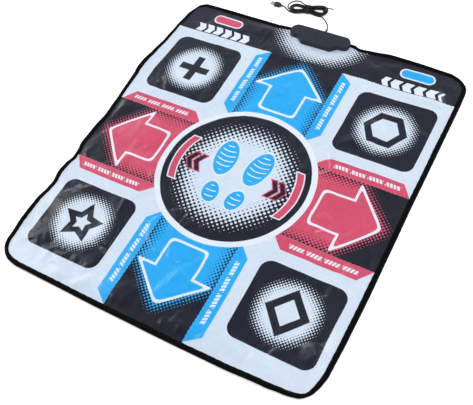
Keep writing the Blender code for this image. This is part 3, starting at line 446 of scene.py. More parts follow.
M = {
    "print": print_material(),
    "binding": woven_tape(),
    "thread": blended("thread", (8, 8, 9), (24, 24, 27), 300, (0.6, 0.75), (1800, 0.0001, 0.6),
                      Specular_IOR_Level=0.15),
    "housing": spark_plastic(),
    "base": nonslip(),
    "foam": open_foam(),
    "film": blended("milky_film", (196, 199, 196), (214, 216, 212), 18, (0.3, 0.42),
                    (300, 0.00005, 0.3)),
    "carbon": blended("carbon_print", (30, 30, 32), (46, 46, 50), 120, (0.5, 0.65),
                      (900, 0.00005, 0.4)),
    "board": blended("solder_mask", (16, 84, 44), (24, 104, 56), 160, (0.3, 0.42),
                     (1200, 0.00004, 0.4), Coat_Weight=0.3),
    "moulded": blended("moulded_black", (26, 26, 28), (40, 40, 43), 300, (0.45, 0.6),
                       (1500, 0.00005, 0.4)),
    "can": blended("plated_can", (168, 170, 174), (196, 198, 202), 260, (0.22, 0.36),
                   (900, 0.00004, 0.3), Metallic=1.0),
    "pale": blended("pale_moulding", (216, 214, 204), (230, 228, 220), 200, (0.4, 0.5),
                    (1200, 0.00004, 0.3)),
    "rubber": blended("rubber", (20, 20, 22), (34, 34, 37), 160, (0.5, 0.66),
                      (1400, 0.00007, 0.5)),
    "steel": blended("brushed_steel", (176, 178, 182), (208, 210, 214), 90, (0.2, 0.34),
                     (700, 0.00003, 0.35), (1.0, 12.0, 12.0), Metallic=1.0),
    "gold": blended("gold_plating", (214, 168, 84), (232, 192, 112), 400, (0.22, 0.34),
                    (900, 0.00003, 0.3), Metallic=1.0),
    "jacket": blended("cord_jacket", (8, 8, 9), (17, 17, 19), 120, (0.42, 0.56),
                      (1600, 0.00005, 0.4), Specular_IOR_Level=0.3),
    "tie": blended("tie_plastic", (9, 9, 10), (22, 22, 25), 240, (0.34, 0.48),
                   (900, 0.00006, 0.5), Specular_IOR_Level=0.35),
}

USB_CONTACTS = [f"usb_contact_{i}" for i in range(1, 5)]
HOUSING_SCREWS = [f"housing_screw_{i}" for i in range(1, 5)]
# The model's nodes that are carried over as they are, by their finish
KEPT = {
    "housing": ["housing_top_shell", "housing_bottom_shell"],
    "steel": HOUSING_SCREWS + ["clamp_screw_1", "clamp_screw_2", "usb_plug_shell"],
    "rubber": ["strain_relief", "usb_plug_body", "pressure_strip"],
    "pale": ["usb_plug_tongue", "cord_socket"],
    "gold": USB_CONTACTS,
    "board": ["circuit_board"],
    "moulded": ["controller_chip", "capacitor", "film_clamp_bar"],
    "can": ["crystal"],
    "carbon": ["contact_block"] + ["upper_contact_" + zone for zone in ZONES],
    "jacket": ["cord_inner_end"],
}


def dress_kept():
    """Give the nodes carried over from the model their finishes."""
    for finish, names in KEPT.items():
        for name in names:
            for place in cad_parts[name].material_slots:
                place.link = "OBJECT"
                place.material = M[finish]


dress_kept()


# Pieces and meshes

def add_object(name, data, material, body="mat", replaced=()):
    thing = link(name, data)
    data.materials.append(material)
    if body:
        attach(thing, body)
    if replaced:
        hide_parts(*replaced)
    return thing


def build_mesh(name, verts, faces, smooth=True):
    mesh = bpy.data.meshes.new(name)
    mesh.from_pydata([tuple(v) for v in verts], [], faces)
    mesh.update()
    if smooth:
        mesh.shade_smooth()
    return mesh


def skin(rings, closed=False):
    """Points and faces over rings of points: closed from last to first, or with two end faces."""
    count, total = len(rings[0]), len(rings)
    faces = []
    for k in range(total if closed else total - 1):
        a, b = k * count, (k + 1) % total * count
        for i in range(count):
            j = (i + 1) % count
            faces.append([a + i, a + j, b + j, b + i])
    if not closed:
        faces.append(list(reversed(range(count))))
        faces.append([(total - 1) * count + i for i in range(count)])
    return [point for ring in rings for point in ring], faces


def join(parts):
    """Several skins as one lot of points and faces."""
    verts, faces = [], []
    for points, found in parts:
        faces += [[v + len(verts) for v in face] for face in found]
        verts += points
    return verts, faces


def turn_out(mesh):
    """Turn every face of a closed mesh outward."""
    bm = bmesh.new()
    bm.from_mesh(mesh)
    bmesh.ops.recalc_face_normals(bm, faces=bm.faces)
    bm.to_mesh(mesh)
    bm.free()


def ease(t):
    """From 0 to 1 as t goes from 0 to 1, level at both ends and beyond."""
    t = np.clip(t, 0, 1)
    return t * t * (3 - 2 * t)


# The lead, its hank, tie and plug

CORD_R = 0.0017
CORD_STEP = 0.0030
FLOOR_LIFT = 0.0001
EXIT = Vector((0.0040, MAT_Y + 0.0213, 0.0125))
HANK_CENTRE = (-0.0810, MAT_Y + 0.0845)
HANK_TILT = math.radians(10.0)
HANK_HALF = 0.0357
HANK_END_R = 0.0194
HANK_PITCH = 0.00402
HANK_WAIST = 0.0130
HANK_WAIST_PITCH = 0.0042
HANK_TURNS = 3
HANK_LAYER = 0.00385
# A turn has two long runs, each this share of a turn, with half a circle after each
HANK_RUN = 0.27
HANK_WAIST_LIFT = 0.0007
# Where one end of the hank hangs out loose: how far, from which turn, over what share of a turn
SLACK_BULGE = 0.0130
SLACK_START = 5.29
SLACK_SPAN = 0.38
LOOP_POINTS = 48
PLUG_NECK = Vector((-0.1542, MAT_Y + 0.0717, 0.0041))


def hank_world(x, y, z):
    turn = Matrix.Rotation(HANK_TILT, 3, "Z")
    return turn @ Vector((x, y, z)) + Vector((*HANK_CENTRE, 0.0))


def hank_point(turn):
    """A point of the hank's centreline: in from the outside for some turns, up, and out again."""
    share = turn % 1.0
    depth = turn if turn <= HANK_TURNS else 2 * HANK_TURNS - turn
    bulge = drop = 0.0
    slack = (turn - SLACK_START) / SLACK_SPAN
    if 0 < slack < 1:
        bulge = SLACK_BULGE * math.sin(math.pi * slack) ** 2
        low = (slack - 0.125) / 0.75
        drop = HANK_LAYER * math.sin(math.pi * low) ** 2 if 0 < low < 1 else 0.0
    radius = HANK_END_R - HANK_PITCH * depth + bulge
    waist = HANK_WAIST - HANK_WAIST_PITCH * depth
    rise = HANK_LAYER * ease((turn - HANK_TURNS + 0.25) / 0.5)
    z = CORD_R + FLOOR_LIFT + rise - drop
    half = share % 0.5
    side = -1 if share < 0.5 else 1
    if half < HANK_RUN:
        x = side * HANK_HALF * (2 * half / HANK_RUN - 1)
        drawn = math.cos(math.pi * x / (2 * HANK_HALF)) ** 2
        y = side * (radius + (waist - radius) * drawn)
        return hank_world(x, y, z + HANK_WAIST_LIFT * drawn)
    angle = math.radians(90) - math.pi * (half - HANK_RUN) / (0.5 - HANK_RUN)
    x = side * (HANK_HALF + radius * math.cos(angle))
    return hank_world(x, side * radius * math.sin(angle), z)


def hank_points():
    last = 2 * HANK_TURNS + HANK_RUN
    turns = [k / LOOP_POINTS for k in range(math.ceil(last * LOOP_POINTS - 0.4))]
    points = [hank_point(turn) for turn in turns + [last]]
    first, end = (points[1] - points[0]).normalized(), (points[-1] - points[-2]).normalized()
    return [points[0] - first * 2 * CORD_R] + points + [points[-1] + end * 2 * CORD_R]


def smooth_route(points, step):
    """Points about one step apart on a smooth curve through the route's own points."""
    route = [Vector(p) for p in points]
    padded = [2 * route[0] - route[1]] + route + [2 * route[-1] - route[-2]]
    found = [route[0]]
    for k in range(1, len(padded) - 2):
        p0, p1, p2, p3 = padded[k - 1:k + 3]
        pieces = max(1, round((p2 - p1).length / step))
        for i in range(1, pieces + 1):
            t = i / pieces
            found.append(0.5 * ((2 * p1) + (p2 - p0) * t + (2 * p0 - 5 * p1 + 4 * p2 - p3) * t ** 2
                                + (3 * p1 - p0 - 3 * p2 + p3) * t ** 3))
    return found


def cord_route():
    """The lead's centreline, from the box through the hank to the plug."""
    hank = hank_points()
    ahead = (hank[1] - hank[0]).normalized()
    lead = [EXIT, (EXIT.x, EXIT.y + 0.0034, EXIT.z)]
    lead += [(x, MAT_Y + y, z) for x, y, z in (
        (0.0016, 0.0310, 0.0104), (-0.0024, 0.0400, 0.0066), (-0.0085, 0.0495, 0.0034),
        (-0.0165, 0.0590, 0.0020), (-0.0245, 0.0655, CORD_R + FLOOR_LIFT))]
    lead += [hank[0] - ahead * 3 * CORD_R, hank[0]]
    tail = [hank[-1]] + [(x, MAT_Y + y, z) for x, y, z in (
        (-0.1285, 0.0595, 0.0034), (-0.1370, 0.0645, 0.0021), (-0.1440, 0.0690, 0.0028))]
    tail += [(PLUG_NECK.x + 0.0034, PLUG_NECK.y, PLUG_NECK.z), PLUG_NECK]
    return smooth_route(lead, CORD_STEP)[:-1] + hank + smooth_route(tail, CORD_STEP)[1:]


def make_cord():
    """The lead as one round cord, and its length."""
    points = cord_route()
    data = bpy.data.curves.new("usb_lead", "CURVE")
    data.dimensions = "3D"
    data.bevel_depth = CORD_R
    data.bevel_resolution = 4
    data.use_fill_caps = True
    line = data.splines.new("POLY")
    line.points.add(len(points) - 1)
    for spot, point in zip(line.points, points):
        spot.co = (*point, 1.0)
    line.use_smooth = True
    cord = add_object("usb_lead", data, M["jacket"],
                      replaced=("cord_lead", "cord_hank", "cord_tail"))
    return cord, sum((b - a).length for a, b in zip(points, points[1:]))


# The band's section as (share of the width across, height out of it)
TIE_SECTION = [(-0.5, 0.00004), (-0.46, 0.00030), (-0.25, 0.00034), (-0.14, 0.00042),
               (0.0, 0.00058), (0.14, 0.00042), (0.25, 0.00034), (0.46, 0.00030),
               (0.5, 0.00004), (0.3, 0.0), (-0.3, 0.0)]
TIE_WIDTH = 0.0050
TIE_STEP = 0.0012
TIE_LOW = FLOOR_LIFT + 0.00045
TIE_HIGH = CORD_R + FLOOR_LIFT + HANK_LAYER + HANK_WAIST_LIFT + CORD_R + 0.0003
TIE_TWISTS = 9
# A ribbon end: its half sizes, how far it lies off the spine, and past what share it parts
RIBBON_HALF, RIBBON_THICK = 0.0014, 0.0006
RIBBON_OFF = 0.0009
PART_FROM, PART_BY = 0.86, 0.006
TIE_SIDES = 8


def tie_loop():
    """The band's way round the hank's waist, across and up: a box with rounded corners."""
    room = CORD_R + 0.0009
    low_y = -(HANK_WAIST + HANK_WAIST_PITCH * HANK_RUN / 2) - room
    high_y = HANK_WAIST - HANK_WAIST_PITCH * (0.5 - HANK_RUN / 2) + room
    corners = [Vector(corner) for corner in (
        (low_y, TIE_LOW), (high_y, TIE_LOW), (high_y, TIE_HIGH), (low_y, TIE_HIGH))]
    radius, steps = CORD_R * 1.6, 8
    loop = []
    for before, here, after in zip(corners[-1:] + corners, corners, corners[1:] + corners[:1]):
        back, on = (before - here).normalized(), (after - here).normalized()
        loop += [here + back * radius * (1 - k / steps) ** 2 + on * radius * (k / steps) ** 2
                 for k in range(steps + 1)]
    fine = []
    for p, q in zip(loop, loop[1:] + loop[:1]):
        pieces = max(1, round((q - p).length / TIE_STEP))
        fine += [p.lerp(q, k / pieces) for k in range(pieces)]
    return fine


def tie_band():
    """A flat band with a wire rib, closed round the waist."""
    loop = tie_loop()
    origin = hank_world(0, 0, 0)
    across = hank_world(1, 0, 0) - origin
    rings = []
    for i, p in enumerate(loop):
        along = (loop[(i + 1) % len(loop)] - loop[i - 1]).normalized()
        out = Vector((along.y, -along.x))
        wave = 0.00012 * math.sin(i * 1.7) if out.y > 0.5 else 0.0
        spot = p + out * max(0.0, wave)
        middle = hank_world(0.0002 * math.sin(i * 0.45), spot.x, spot.y)
        outward = hank_world(0, out.x, out.y) - origin
        width = TIE_WIDTH * (1 + 0.03 * math.sin(i * 0.9))
        rings.append([middle + across * (u * width) + outward * w for u, w in TIE_SECTION])
    return skin(rings, closed=True)


def tie_end(spine, phase):
    """One end of the band, a narrow ribbon that winds round the other end along a spine."""
    last = len(spine) - 1
    rings = []
    for k, p in enumerate(spine):
        along = (spine[min(k + 1, last)] - spine[max(k - 1, 0)]).normalized()
        side = along.cross(Vector((0, 0, 1))).normalized()
        up = side.cross(along)
        share = k / last
        angle = phase + share * TURN * TIE_TWISTS
        turned = angle + math.pi / 2
        flat = side * math.cos(angle) + up * math.sin(angle)
        wide = side * math.cos(turned) + up * math.sin(turned)
        centre = p + flat * (RIBBON_OFF + max(0.0, share - PART_FROM) * PART_BY)
        turns = [TURN * i / TIE_SIDES for i in range(TIE_SIDES)]
        rings.append([centre + wide * (RIBBON_HALF * math.cos(t))
                      + flat * (RIBBON_THICK * math.sin(t)) for t in turns])
    return skin(rings)


def make_tie():
    """A twist tie: its band round the waist, its two ends wound together on top of the hank."""
    rest = TIE_HIGH + 0.0024
    spine = smooth_route([hank_world(*p) for p in (
        (0.0, 0.0028, rest), (0.0065, 0.0034, rest + 0.0003), (0.0200, 0.0050, rest),
        (0.0400, 0.0070, rest), (0.0560, 0.0078, rest), (0.0630, 0.0080, rest - 0.0016),
        (0.0700, 0.0080, rest - 0.0042))], 0.0006)
    verts, faces = join([tie_band(), tie_end(spine, 0.0), tie_end(spine, math.pi)])
    return add_object("twist_tie", build_mesh("twist_tie", verts, faces), M["tie"],
                      replaced=("hank_tie",))


lead, lead_length = make_cord()
tie = make_tie()


# How the mat lies: places along each edge, and how far it is drawn in or lifted there, in mm

LEFT_EDGE = [(-0.465, 5), (-0.400, 1.5), (-0.350, -2.5), (-0.290, -3), (-0.250, 3.5), (-0.235, 5.5),
             (-0.200, 0), (-0.175, 2), (-0.150, 8), (-0.130, 6), (-0.100, 0), (-0.050, 2),
             (0.0, 7), (0.050, 4), (0.100, 0), (0.150, -1), (0.175, -4.5), (0.200, -4),
             (0.250, 2), (0.300, 9), (0.350, 13), (0.400, 18.5), (0.430, 23.5), (0.465, 25)]
RIGHT_EDGE = [(-0.465, 10), (-0.432, 10.5), (-0.380, 1.8), (-0.300, -0.8), (-0.200, -1.8),
              (-0.060, -0.8), (0.060, 0.5), (0.200, 0.3), (0.350, 0.4), (0.465, 3)]
REAR_EDGE = [(-0.410, 8), (-0.383, 13), (-0.352, 3.2), (-0.130, 3), (-0.094, 0), (0.094, 0),
             (0.112, 7), (0.150, 5), (0.200, 1), (0.270, 0.5), (0.350, 4), (0.375, 7),
             (0.410, 9)]
FRONT_EDGE = [(-0.410, 4.5), (-0.372, 5), (-0.338, 1.6), (-0.250, 0.5), (-0.100, -1.5),
              (0.050, -2), (0.200, -0.8), (0.300, 3), (0.340, 6.4), (0.368, 9.6), (0.410, 12.5)]
LEFT_LIFT = [(-0.465, 0.5), (-0.340, 2.5), (-0.270, 0.5), (-0.190, 3.0), (-0.120, 0.5),
             (0.0, 2.2), (0.090, 0.4), (0.190, 4.5), (0.280, 1.0), (0.380, 2.0), (0.465, 0.5)]
RIGHT_LIFT = [(-0.465, 0.3), (-0.300, 1.5), (-0.180, 0.3), (-0.020, 1.8), (0.120, 0.3),
              (0.260, 1.5), (0.465, 0.4)]
REAR_LIFT = [(-0.410, 0.5), (-0.300, 1.6), (-0.180, 0.4), (-0.110, 0.0), (0.110, 0.0),
             (0.200, 4.0), (0.300, 1.4), (0.410, 0.6)]
FRONT_LIFT = [(-0.410, 0.5), (-0.300, 2.0), (-0.160, 0.2), (0.0, 1.4), (0.150, 0.2), (0.280, 1.6),
              (0.410, 0.4)]
PULL_REACH, LIFT_REACH = 0.040, 0.029


def soft_line(keys, at):
    """Values along an edge in metres, eased from key to key."""
    places = np.array([k for k, _ in keys])
    values = np.array([v for _, v in keys], float)
    index = np.clip(np.searchsorted(places, at) - 1, 0, len(places) - 2)
    t = ease((at - places[index]) / (places[index + 1] - places[index]))
    return (values[index] * (1 - t) + values[index + 1] * t) * MM


def settle(points):
    """Move flat points of the mat to where its waves and drawn-in edges put them."""
    p = np.array(points, float).reshape(-1, 3)
    x, y = p[:, 0].copy(), p[:, 1].copy()
    gaps = (x + MAT_X, MAT_X - x, y + MAT_Y, MAT_Y - y)
    left, right, front, rear = (ease(1 - gap / PULL_REACH) for gap in gaps)
    p[:, 0] += soft_line(LEFT_EDGE, y) * left - soft_line(RIGHT_EDGE, y) * right
    p[:, 1] += soft_line(FRONT_EDGE, x) * front - soft_line(REAR_EDGE, x) * rear
    lifts = zip((LEFT_LIFT, RIGHT_LIFT, FRONT_LIFT, REAR_LIFT), (y, y, x, x), gaps)
    p[:, 2] += np.maximum.reduce([soft_line(keys, at) * ease(1 - gap / LIFT_REACH)
                                  for keys, at, gap in lifts])
    return p


# Wrinkles of the cover

# Each from one end to the other, its half width and height, in mm
CREASES = [
    (-147, 452, -148, 364, 4.0, 0.9), (-137, 440, -139, 372, 3.5, -0.7),
    (160, 448, 158, 380, 5.0, 0.6), (-120, 420, -112, 366, 4.0, 0.4),
    (-368, 182, -322, 146, 5.0, 1.3), (-372, 160, -300, 138, 4.5, 1.0),
    (-330, 176, -290, 150, 5.0, 0.7), (-220, 190, -166, 150, 4.5, 1.1),
    (-250, 158, -205, 138, 5.0, 0.8), (-376, 215, -350, 160, 5.0, -0.8),
    (-304, -400, -262, -372, 6.0, 1.6), (-284, -404, -246, -392, 5.0, 1.2),
    (-222, -402, -206, -338, 4.5, 1.5), (-236, -402, -222, -352, 4.0, -0.8),
    (-368, -292, -344, -232, 6.0, 1.1), (-372, -372, -330, -392, 5.0, 1.0),
    (-306, -204, -262, -228, 5.0, 1.0), (-368, -214, -330, -206, 4.5, 0.8),
    (80, -412, 76, -456, 3.5, 1.2), (-92, -424, -86, -456, 5.0, 0.9),
    (-62, -300, -34, -366, 4.0, 0.6), (-20, -380, 10, -418, 4.0, 0.7),
    (236, -37, 372, -38, 4.0, -0.9), (330, -30, 400, -58, 5.0, 0.8),
    (-398, -110, -370, -138, 3.5, 1.3), (-400, -140, -360, -128, 4.0, 0.8),
    (276, -204, 236, -240, 5.0, 0.8), (374, -214, 330, -258, 5.0, 0.8),
    (190, -398, 240, -352, 5.0, 0.5), (-190, -130, -130, -160, 5.0, 0.5),
    (120, 96, 176, 30, 6.0, 0.5), (250, 136, 300, 150, 5.0, 0.7),
    (236, 330, 250, 352, 4.0, 0.5), (-395, 330, -372, 240, 5.0, 0.8),
    (-166, 122, -214, 96, 5.0, 0.4), (60, -186, 112, -212, 5.0, 0.5),
    (-330, 110, -240, 124, 4.0, 0.5), (384, 100, 372, -10, 4.0, 0.5),
]
# Where the sheet was folded to be packed: each line's place, and its height in mm
FOLDS_X = [(-0.2720, 0.20), (0.0030, 0.16), (0.2400, 0.22), (0.2880, 0.20), (0.3350, 0.22)]
FOLDS_Y = [(0.2850, 0.18), (0.2350, 0.20), (-0.1800, 0.18), (-0.0370, 0.14)]
FOLD_REACH = 0.0035
# Where the sheet is most crumpled: middle and reach in mm, and how much
CRUMPLED = [
    (-290, -310, 110, 105, 1.0), (-345, -60, 75, 95, 0.75), (-280, 160, 115, 45, 0.8),
    (-250, -45, 70, 65, 0.75), (300, -45, 105, 85, 1.0), (-20, -400, 95, 60, 0.7),
    (20, -290, 90, 90, 0.5), (270, -300, 110, 110, 0.42), (280, 250, 110, 100, 0.5),
    (-145, 410, 60, 60, 0.4), (170, 410, 80, 50, 0.45), (-340, 400, 70, 60, 0.3),
    (350, 400, 60, 60, 0.5), (-120, -90, 80, 80, 0.4), (100, 60, 90, 80, 0.3),
    (30, 260, 90, 80, 0.65), (-80, 220, 60, 80, 0.3), (-380, -200, 40, 60, 0.5),
]
PLAIN, MOST = 0.36, 1.15
HIGHEST = 0.0040
# The sheet is flat as far in as the tape, and round the box, and eases in from there
TAPE_CALM, TAPE_EASE = 0.011, 0.022
BOX_CALM_X, BOX_CALM_Y, BOX_EASE = 0.088, 0.412, 0.016

STEP = 0.0010
FIELD_X = np.arange(-0.432, 0.4321, STEP)
FIELD_Y = np.arange(-0.492, 0.4921, STEP)
GRID = np.meshgrid(FIELD_X, FIELD_Y)
# How many places are worked out at a time, to save memory
BATCH = 40000


def waves(seed, count, low, high, rms):
    """Gentle unevenness: many small waves from all sides."""
    draw = np.random.default_rng(seed)
    gx, gy = GRID
    total = np.zeros_like(gx)
    for _ in range(count):
        size = math.exp(draw.uniform(math.log(low), math.log(high)))
        angle, phase = draw.uniform(0, TURN, 2)
        total += np.sin((gx * math.cos(angle) + gy * math.sin(angle)) * TURN / size + phase)
    return total * (rms / math.sqrt(count / 2))


def crumple_cells(grid, seed, count):
    """Tents and dents with straight creases between them: height per metre of reach."""
    draw = np.random.default_rng(seed)
    seeds = draw.uniform((-0.46, -0.52), (0.46, 0.52), (count, 2)).astype(np.float32)
    push = draw.normal(0.0, 1.0, count)
    gx, gy = (axis.ravel().astype(np.float32) for axis in grid)
    found = np.empty(len(gx))
    for start in range(0, len(gx), BATCH):
        part = slice(start, start + BATCH)
        gap = (gx[part, None] - seeds[None, :, 0]) ** 2 + (gy[part, None] - seeds[None, :, 1]) ** 2
        rows = np.arange(len(gap))
        first = gap.argmin(axis=1)
        near = gap[rows, first].copy()
        gap[rows, first] = np.inf
        second = gap.argmin(axis=1)
        apart = np.linalg.norm(seeds[first] - seeds[second], axis=1)
        found[part] = (gap[rows, second] - near) / (2 * apart) * push[first]
    return found.reshape(grid[0].shape)


def add_crease(height, x0, y0, x1, y1, wide, high):
    """One long wrinkle, a little bent, that runs out at both ends."""
    ax, ay, bx, by, wide = (value * MM for value in (x0, y0, x1, y1, wide))
    reach = 5 * wide
    cols = np.where((FIELD_X > min(ax, bx) - reach) & (FIELD_X < max(ax, bx) + reach))[0]
    rows = np.where((FIELD_Y > min(ay, by) - reach) & (FIELD_Y < max(ay, by) + reach))[0]
    area = np.ix_(rows, cols)
    px, py = GRID[0][area] - ax, GRID[1][area] - ay
    run = math.hypot(bx - ax, by - ay)
    ux, uy = (bx - ax) / run, (by - ay) / run
    t = (px * ux + py * uy) / run
    bend = 0.10 * run * np.sin(np.clip(t, 0, 1) * math.pi)
    off = np.abs(py * ux - px * uy - bend)
    height[area] += high * ease(np.minimum(t, 1 - t) * 3.2 + 0.25) * np.exp(-(off / wide) ** 1.5)


def soften(height, reach):
    """Mix each place with four others, a reach of grid steps away."""
    inner = slice(reach, -reach)
    around = (height[:-2 * reach, inner] + height[2 * reach:, inner]
              + height[inner, :-2 * reach] + height[inner, 2 * reach:])
    height[inner, inner] = (height[inner, inner] * 2 + around) / 6


def wrinkle_field():
    """The cover's height above its flat place, in metres, on a fine grid."""
    gx, gy = GRID
    where = np.full_like(gx, PLAIN)
    for x, y, wide, tall, much in CRUMPLED:
        off = ((gx / MM - x) / wide) ** 2 + ((gy / MM - y) / tall) ** 2
        where += much * np.exp(-off * 0.9)
    where = np.minimum(where, MOST)
    bent = [axis + waves(seed, 8, 0.060, 0.160, 0.0045) for axis, seed in ((gx, 15), (gy, 16))]
    height = waves(11, 26, 0.110, 0.300, 0.40)
    height += waves(12, 26, 0.030, 0.075, 0.16) * (0.35 + 0.65 * where)
    height += crumple_cells(bent, 31, 170) * where * 95
    height += crumple_cells(bent, 32, 650) * where * 50
    for axis, folds in ((gx, FOLDS_X), (gy, FOLDS_Y)):
        for at, size in folds:
            height += size * np.exp(-np.abs(axis - at) / FOLD_REACH)
    for crease in CREASES:
        add_crease(height, *crease)
    height = height * MM + 0.0008
    height = (height + np.hypot(height, 0.0006)) / 2
    border = np.minimum.reduce([gx + MAT_X, MAT_X - gx, gy + MAT_Y, MAT_Y - gy])
    beside = np.clip((np.abs(gx) - BOX_CALM_X) / BOX_EASE, 0, 1)
    before = np.clip((BOX_CALM_Y - gy) / BOX_EASE, 0, 1)
    share = np.clip((border - TAPE_CALM) / TAPE_EASE, 0, 1) * np.maximum(beside, before)
    height = np.minimum(height, HIGHEST) * ease(share)
    for reach in (3, 2, 1, 1):
        soften(height, reach)
    return height


WRINKLES = wrinkle_field()


def wrinkle_at(x, y):
    u = np.clip((x - FIELD_X[0]) / STEP, 0, len(FIELD_X) - 1.001)
    v = np.clip((y - FIELD_Y[0]) / STEP, 0, len(FIELD_Y) - 1.001)
    i, j = u.astype(int), v.astype(int)
    fu, fv = u - i, v - j
    return ((WRINKLES[j, i] * (1 - fu) + WRINKLES[j, i + 1] * fu) * (1 - fv)
            + (WRINKLES[j + 1, i] * (1 - fu) + WRINKLES[j + 1, i + 1] * fu) * fv)


def cover_points(flat):
    """The cover's upper surface over flat points (x, y)."""
    x, y = flat[:, 0], flat[:, 1]
    return settle(np.column_stack([x, y, COVER_TOP + wrinkle_at(x, y)]))


def cover_normals(flat, gap=0.0012):
    east = cover_points(flat + (gap, 0)) - cover_points(flat - (gap, 0))
    north = cover_points(flat + (0, gap)) - cover_points(flat - (0, gap))
    normals = np.cross(east, north)
    return normals / np.linalg.norm(normals, axis=1)[:, None]


# Sheets cut from a grid

# The right half of the control box's outline, with y from the mat's rear edge
BOX_OUTLINE = [(0.042, -0.0465), (0.058, -0.0315), (0.086, -0.0320), (0.086, 0.0090)]
BOX_PAST = 0.05
TAIL_LENGTH = 0.0160
NEAR_NOUGHT = 1e-7


def box_notch(inset):
    """The control box's outline moved in by an inset, and drawn out past the mat's rear edge."""
    right = [(x, MAT_Y + y) for x, y in BOX_OUTLINE]
    corners = [Vector(p) for p in [(-x, y) for x, y in reversed(right)] + right]
    found = []
    for before, here, after in zip(corners[-1:] + corners, corners, corners[1:] + corners[:1]):
        one, two = (here - before).normalized(), (after - here).normalized()
        n1, n2 = Vector((-one.y, one.x)), Vector((-two.y, two.x))
        p = here + (n1 + n2) / (1 + n1.dot(n2)) * inset
        found.append((p.x, p.y if p.y < MAT_Y else p.y + BOX_PAST))
    return found


def polygon_distance(points, corners):
    """Signed distance from a polygon's rim, below nought inside, and the nearest rim points."""
    best = np.full(len(points), np.inf)
    nearest = np.zeros_like(points)
    crossings = np.zeros(len(points), int)
    for i in range(len(corners)):
        a, b = np.array(corners[i - 1]), np.array(corners[i])
        edge = b - a
        t = np.clip(((points - a) @ edge) / (edge @ edge), 0, 1)
        rim = a + t[:, None] * edge
        gap = np.linalg.norm(points - rim, axis=1)
        closer = gap < best
        best[closer], nearest[closer] = gap[closer], rim[closer]
        spans = (a[1] > points[:, 1]) != (b[1] > points[:, 1])
        with np.errstate(divide="ignore", invalid="ignore"):
            at = a[0] + (points[:, 1] - a[1]) / (b[1] - a[1]) * edge[0]
        crossings += spans & (points[:, 0] < at)
    return np.where(crossings % 2 == 1, -best, best), nearest


def mat_distance(points, inset):
    """Signed distance from the mat's rounded rim, moved in by an inset, and the nearest points."""
    r = MAT_R - inset
    half = np.array([MAT_X - inset, MAT_Y - inset]) - r
    folded = np.abs(points) - half
    outside = np.maximum(folded, 0)
    reach = np.linalg.norm(outside, axis=1)
    gap = reach + np.minimum(folded.max(axis=1), 0) - r
    nearest = points.copy()
    past = gap > 0
    safe = np.where(reach > 0, reach, 1)[:, None]
    rim = np.sign(points) * (np.minimum(np.abs(points), half) + outside / safe * r)
    nearest[past] = rim[past]
    return gap, nearest


def grid_lines(stops, spacing):
    """Places from the first stop to the last, through every stop, at most one spacing apart."""
    stops = sorted(set(round(s, 6) for s in stops))
    found = [stops[0]]
    for a, b in zip(stops, stops[1:]):
        pieces = max(1, math.ceil((b - a) / spacing - 1e-6))
        found += [a + (b - a) * k / pieces for k in range(1, pieces + 1)]
    return found


def grid_points(xs, ys):
    return np.column_stack([axis.ravel() for axis in np.meshgrid(xs, ys)])


def grid_squares(xs, ys):
    """Each square of a grid: its column, its row, and its corners' indices counterclockwise."""
    wide = len(xs)
    for j in range(len(ys) - 1):
        for i in range(wide - 1):
            k = j * wide + i
            yield i, j, [k, k + 1, k + 1 + wide, k + wide]


def tidy_faces(points, faces):
    """Drop corners that fall together, faces with no area, and points that nothing uses."""
    keys = {}
    same = [keys.setdefault(tuple(p), i) for i, p in enumerate(np.round(points * 1e6).astype(int))]
    kept = []
    for face in faces:
        loop = list(dict.fromkeys(same[v] for v in face))
        if len(loop) < 3:
            continue
        x, y = points[loop].T
        if 0.5 * abs(np.dot(x, np.roll(y, 1)) - np.dot(y, np.roll(x, 1))) > 1e-9:
            kept.append(loop)
    used = sorted({v for face in kept for v in face})
    index = {v: n for n, v in enumerate(used)}
    return points[used], [[index[v] for v in face] for face in kept]


def cut_sheet(inset, notch, openings, spacing, more_x=(), more_y=()):
    """Flat points and faces of a sheet: a grid cut back to the mat's rim and the box's notch."""
    sides_x = [r[k] for r in openings for k in (0, 2)]
    sides_y = [r[k] for r in openings for k in (1, 3)]
    xs = grid_lines([inset - MAT_X, MAT_X - inset, *sides_x, *more_x], spacing)
    ys = grid_lines([inset - MAT_Y, MAT_Y - inset, *sides_y, *more_y], spacing)
    points = grid_points(xs, ys)
    gap, rim = mat_distance(points, inset)
    outside = gap > NEAR_NOUGHT
    points[outside] = rim[outside]
    hole, edge = polygon_distance(points, notch)
    inside = hole < -NEAR_NOUGHT
    points[inside] = edge[inside]
    lost = outside | inside
    faces = []
    for i, j, corners in grid_squares(xs, ys):
        cx, cy = (xs[i] + xs[i + 1]) / 2, (ys[j] + ys[j + 1]) / 2
        opened = any(x0 < cx < x1 and y0 < cy < y1 for x0, y0, x1, y1 in openings)
        if not opened and not lost[corners].all():
            faces.append(corners)
    return tidy_faces(points, faces)


def thick_sheet(name, faces, top, bottom, normals=None):
    """A closed sheet between two surfaces over the same faces, smooth where normals are given."""
    count = len(top)
    edges = dict.fromkeys(pair for face in faces for pair in zip(face, face[1:] + face[:1]))
    under = [[v + count for v in reversed(face)] for face in faces]
    walls = [[b, a, a + count, b + count] for a, b in edges if (b, a) not in edges]
    smooth = normals is not None
    mesh = build_mesh(name, np.vstack([top, bottom]), faces + under + walls, smooth)
    if smooth:
        over = normals[[v for face in faces for v in face]]
        below = -normals[[v for face in faces for v in reversed(face)]]
        beside = [tuple(wall.normal) for wall in mesh.polygons[2 * len(faces):] for _ in range(4)]
        mesh.normals_split_custom_set([tuple(n) for n in np.vstack([over, below, beside])])
    return mesh


def cover_sheet(name, flat, faces):
    """A piece of the printed cover."""
    top, normals = cover_points(flat), cover_normals(flat)
    return thick_sheet(name, faces, top, top - normals * COVER_SKIN, normals)


# The cover and its step zones

COVER_IN = 0.0040
BOX_LAP = 0.0040
COVER_SPACING, ZONE_SPACING = 0.0033, 0.0027
GIVE_ROWS = 4
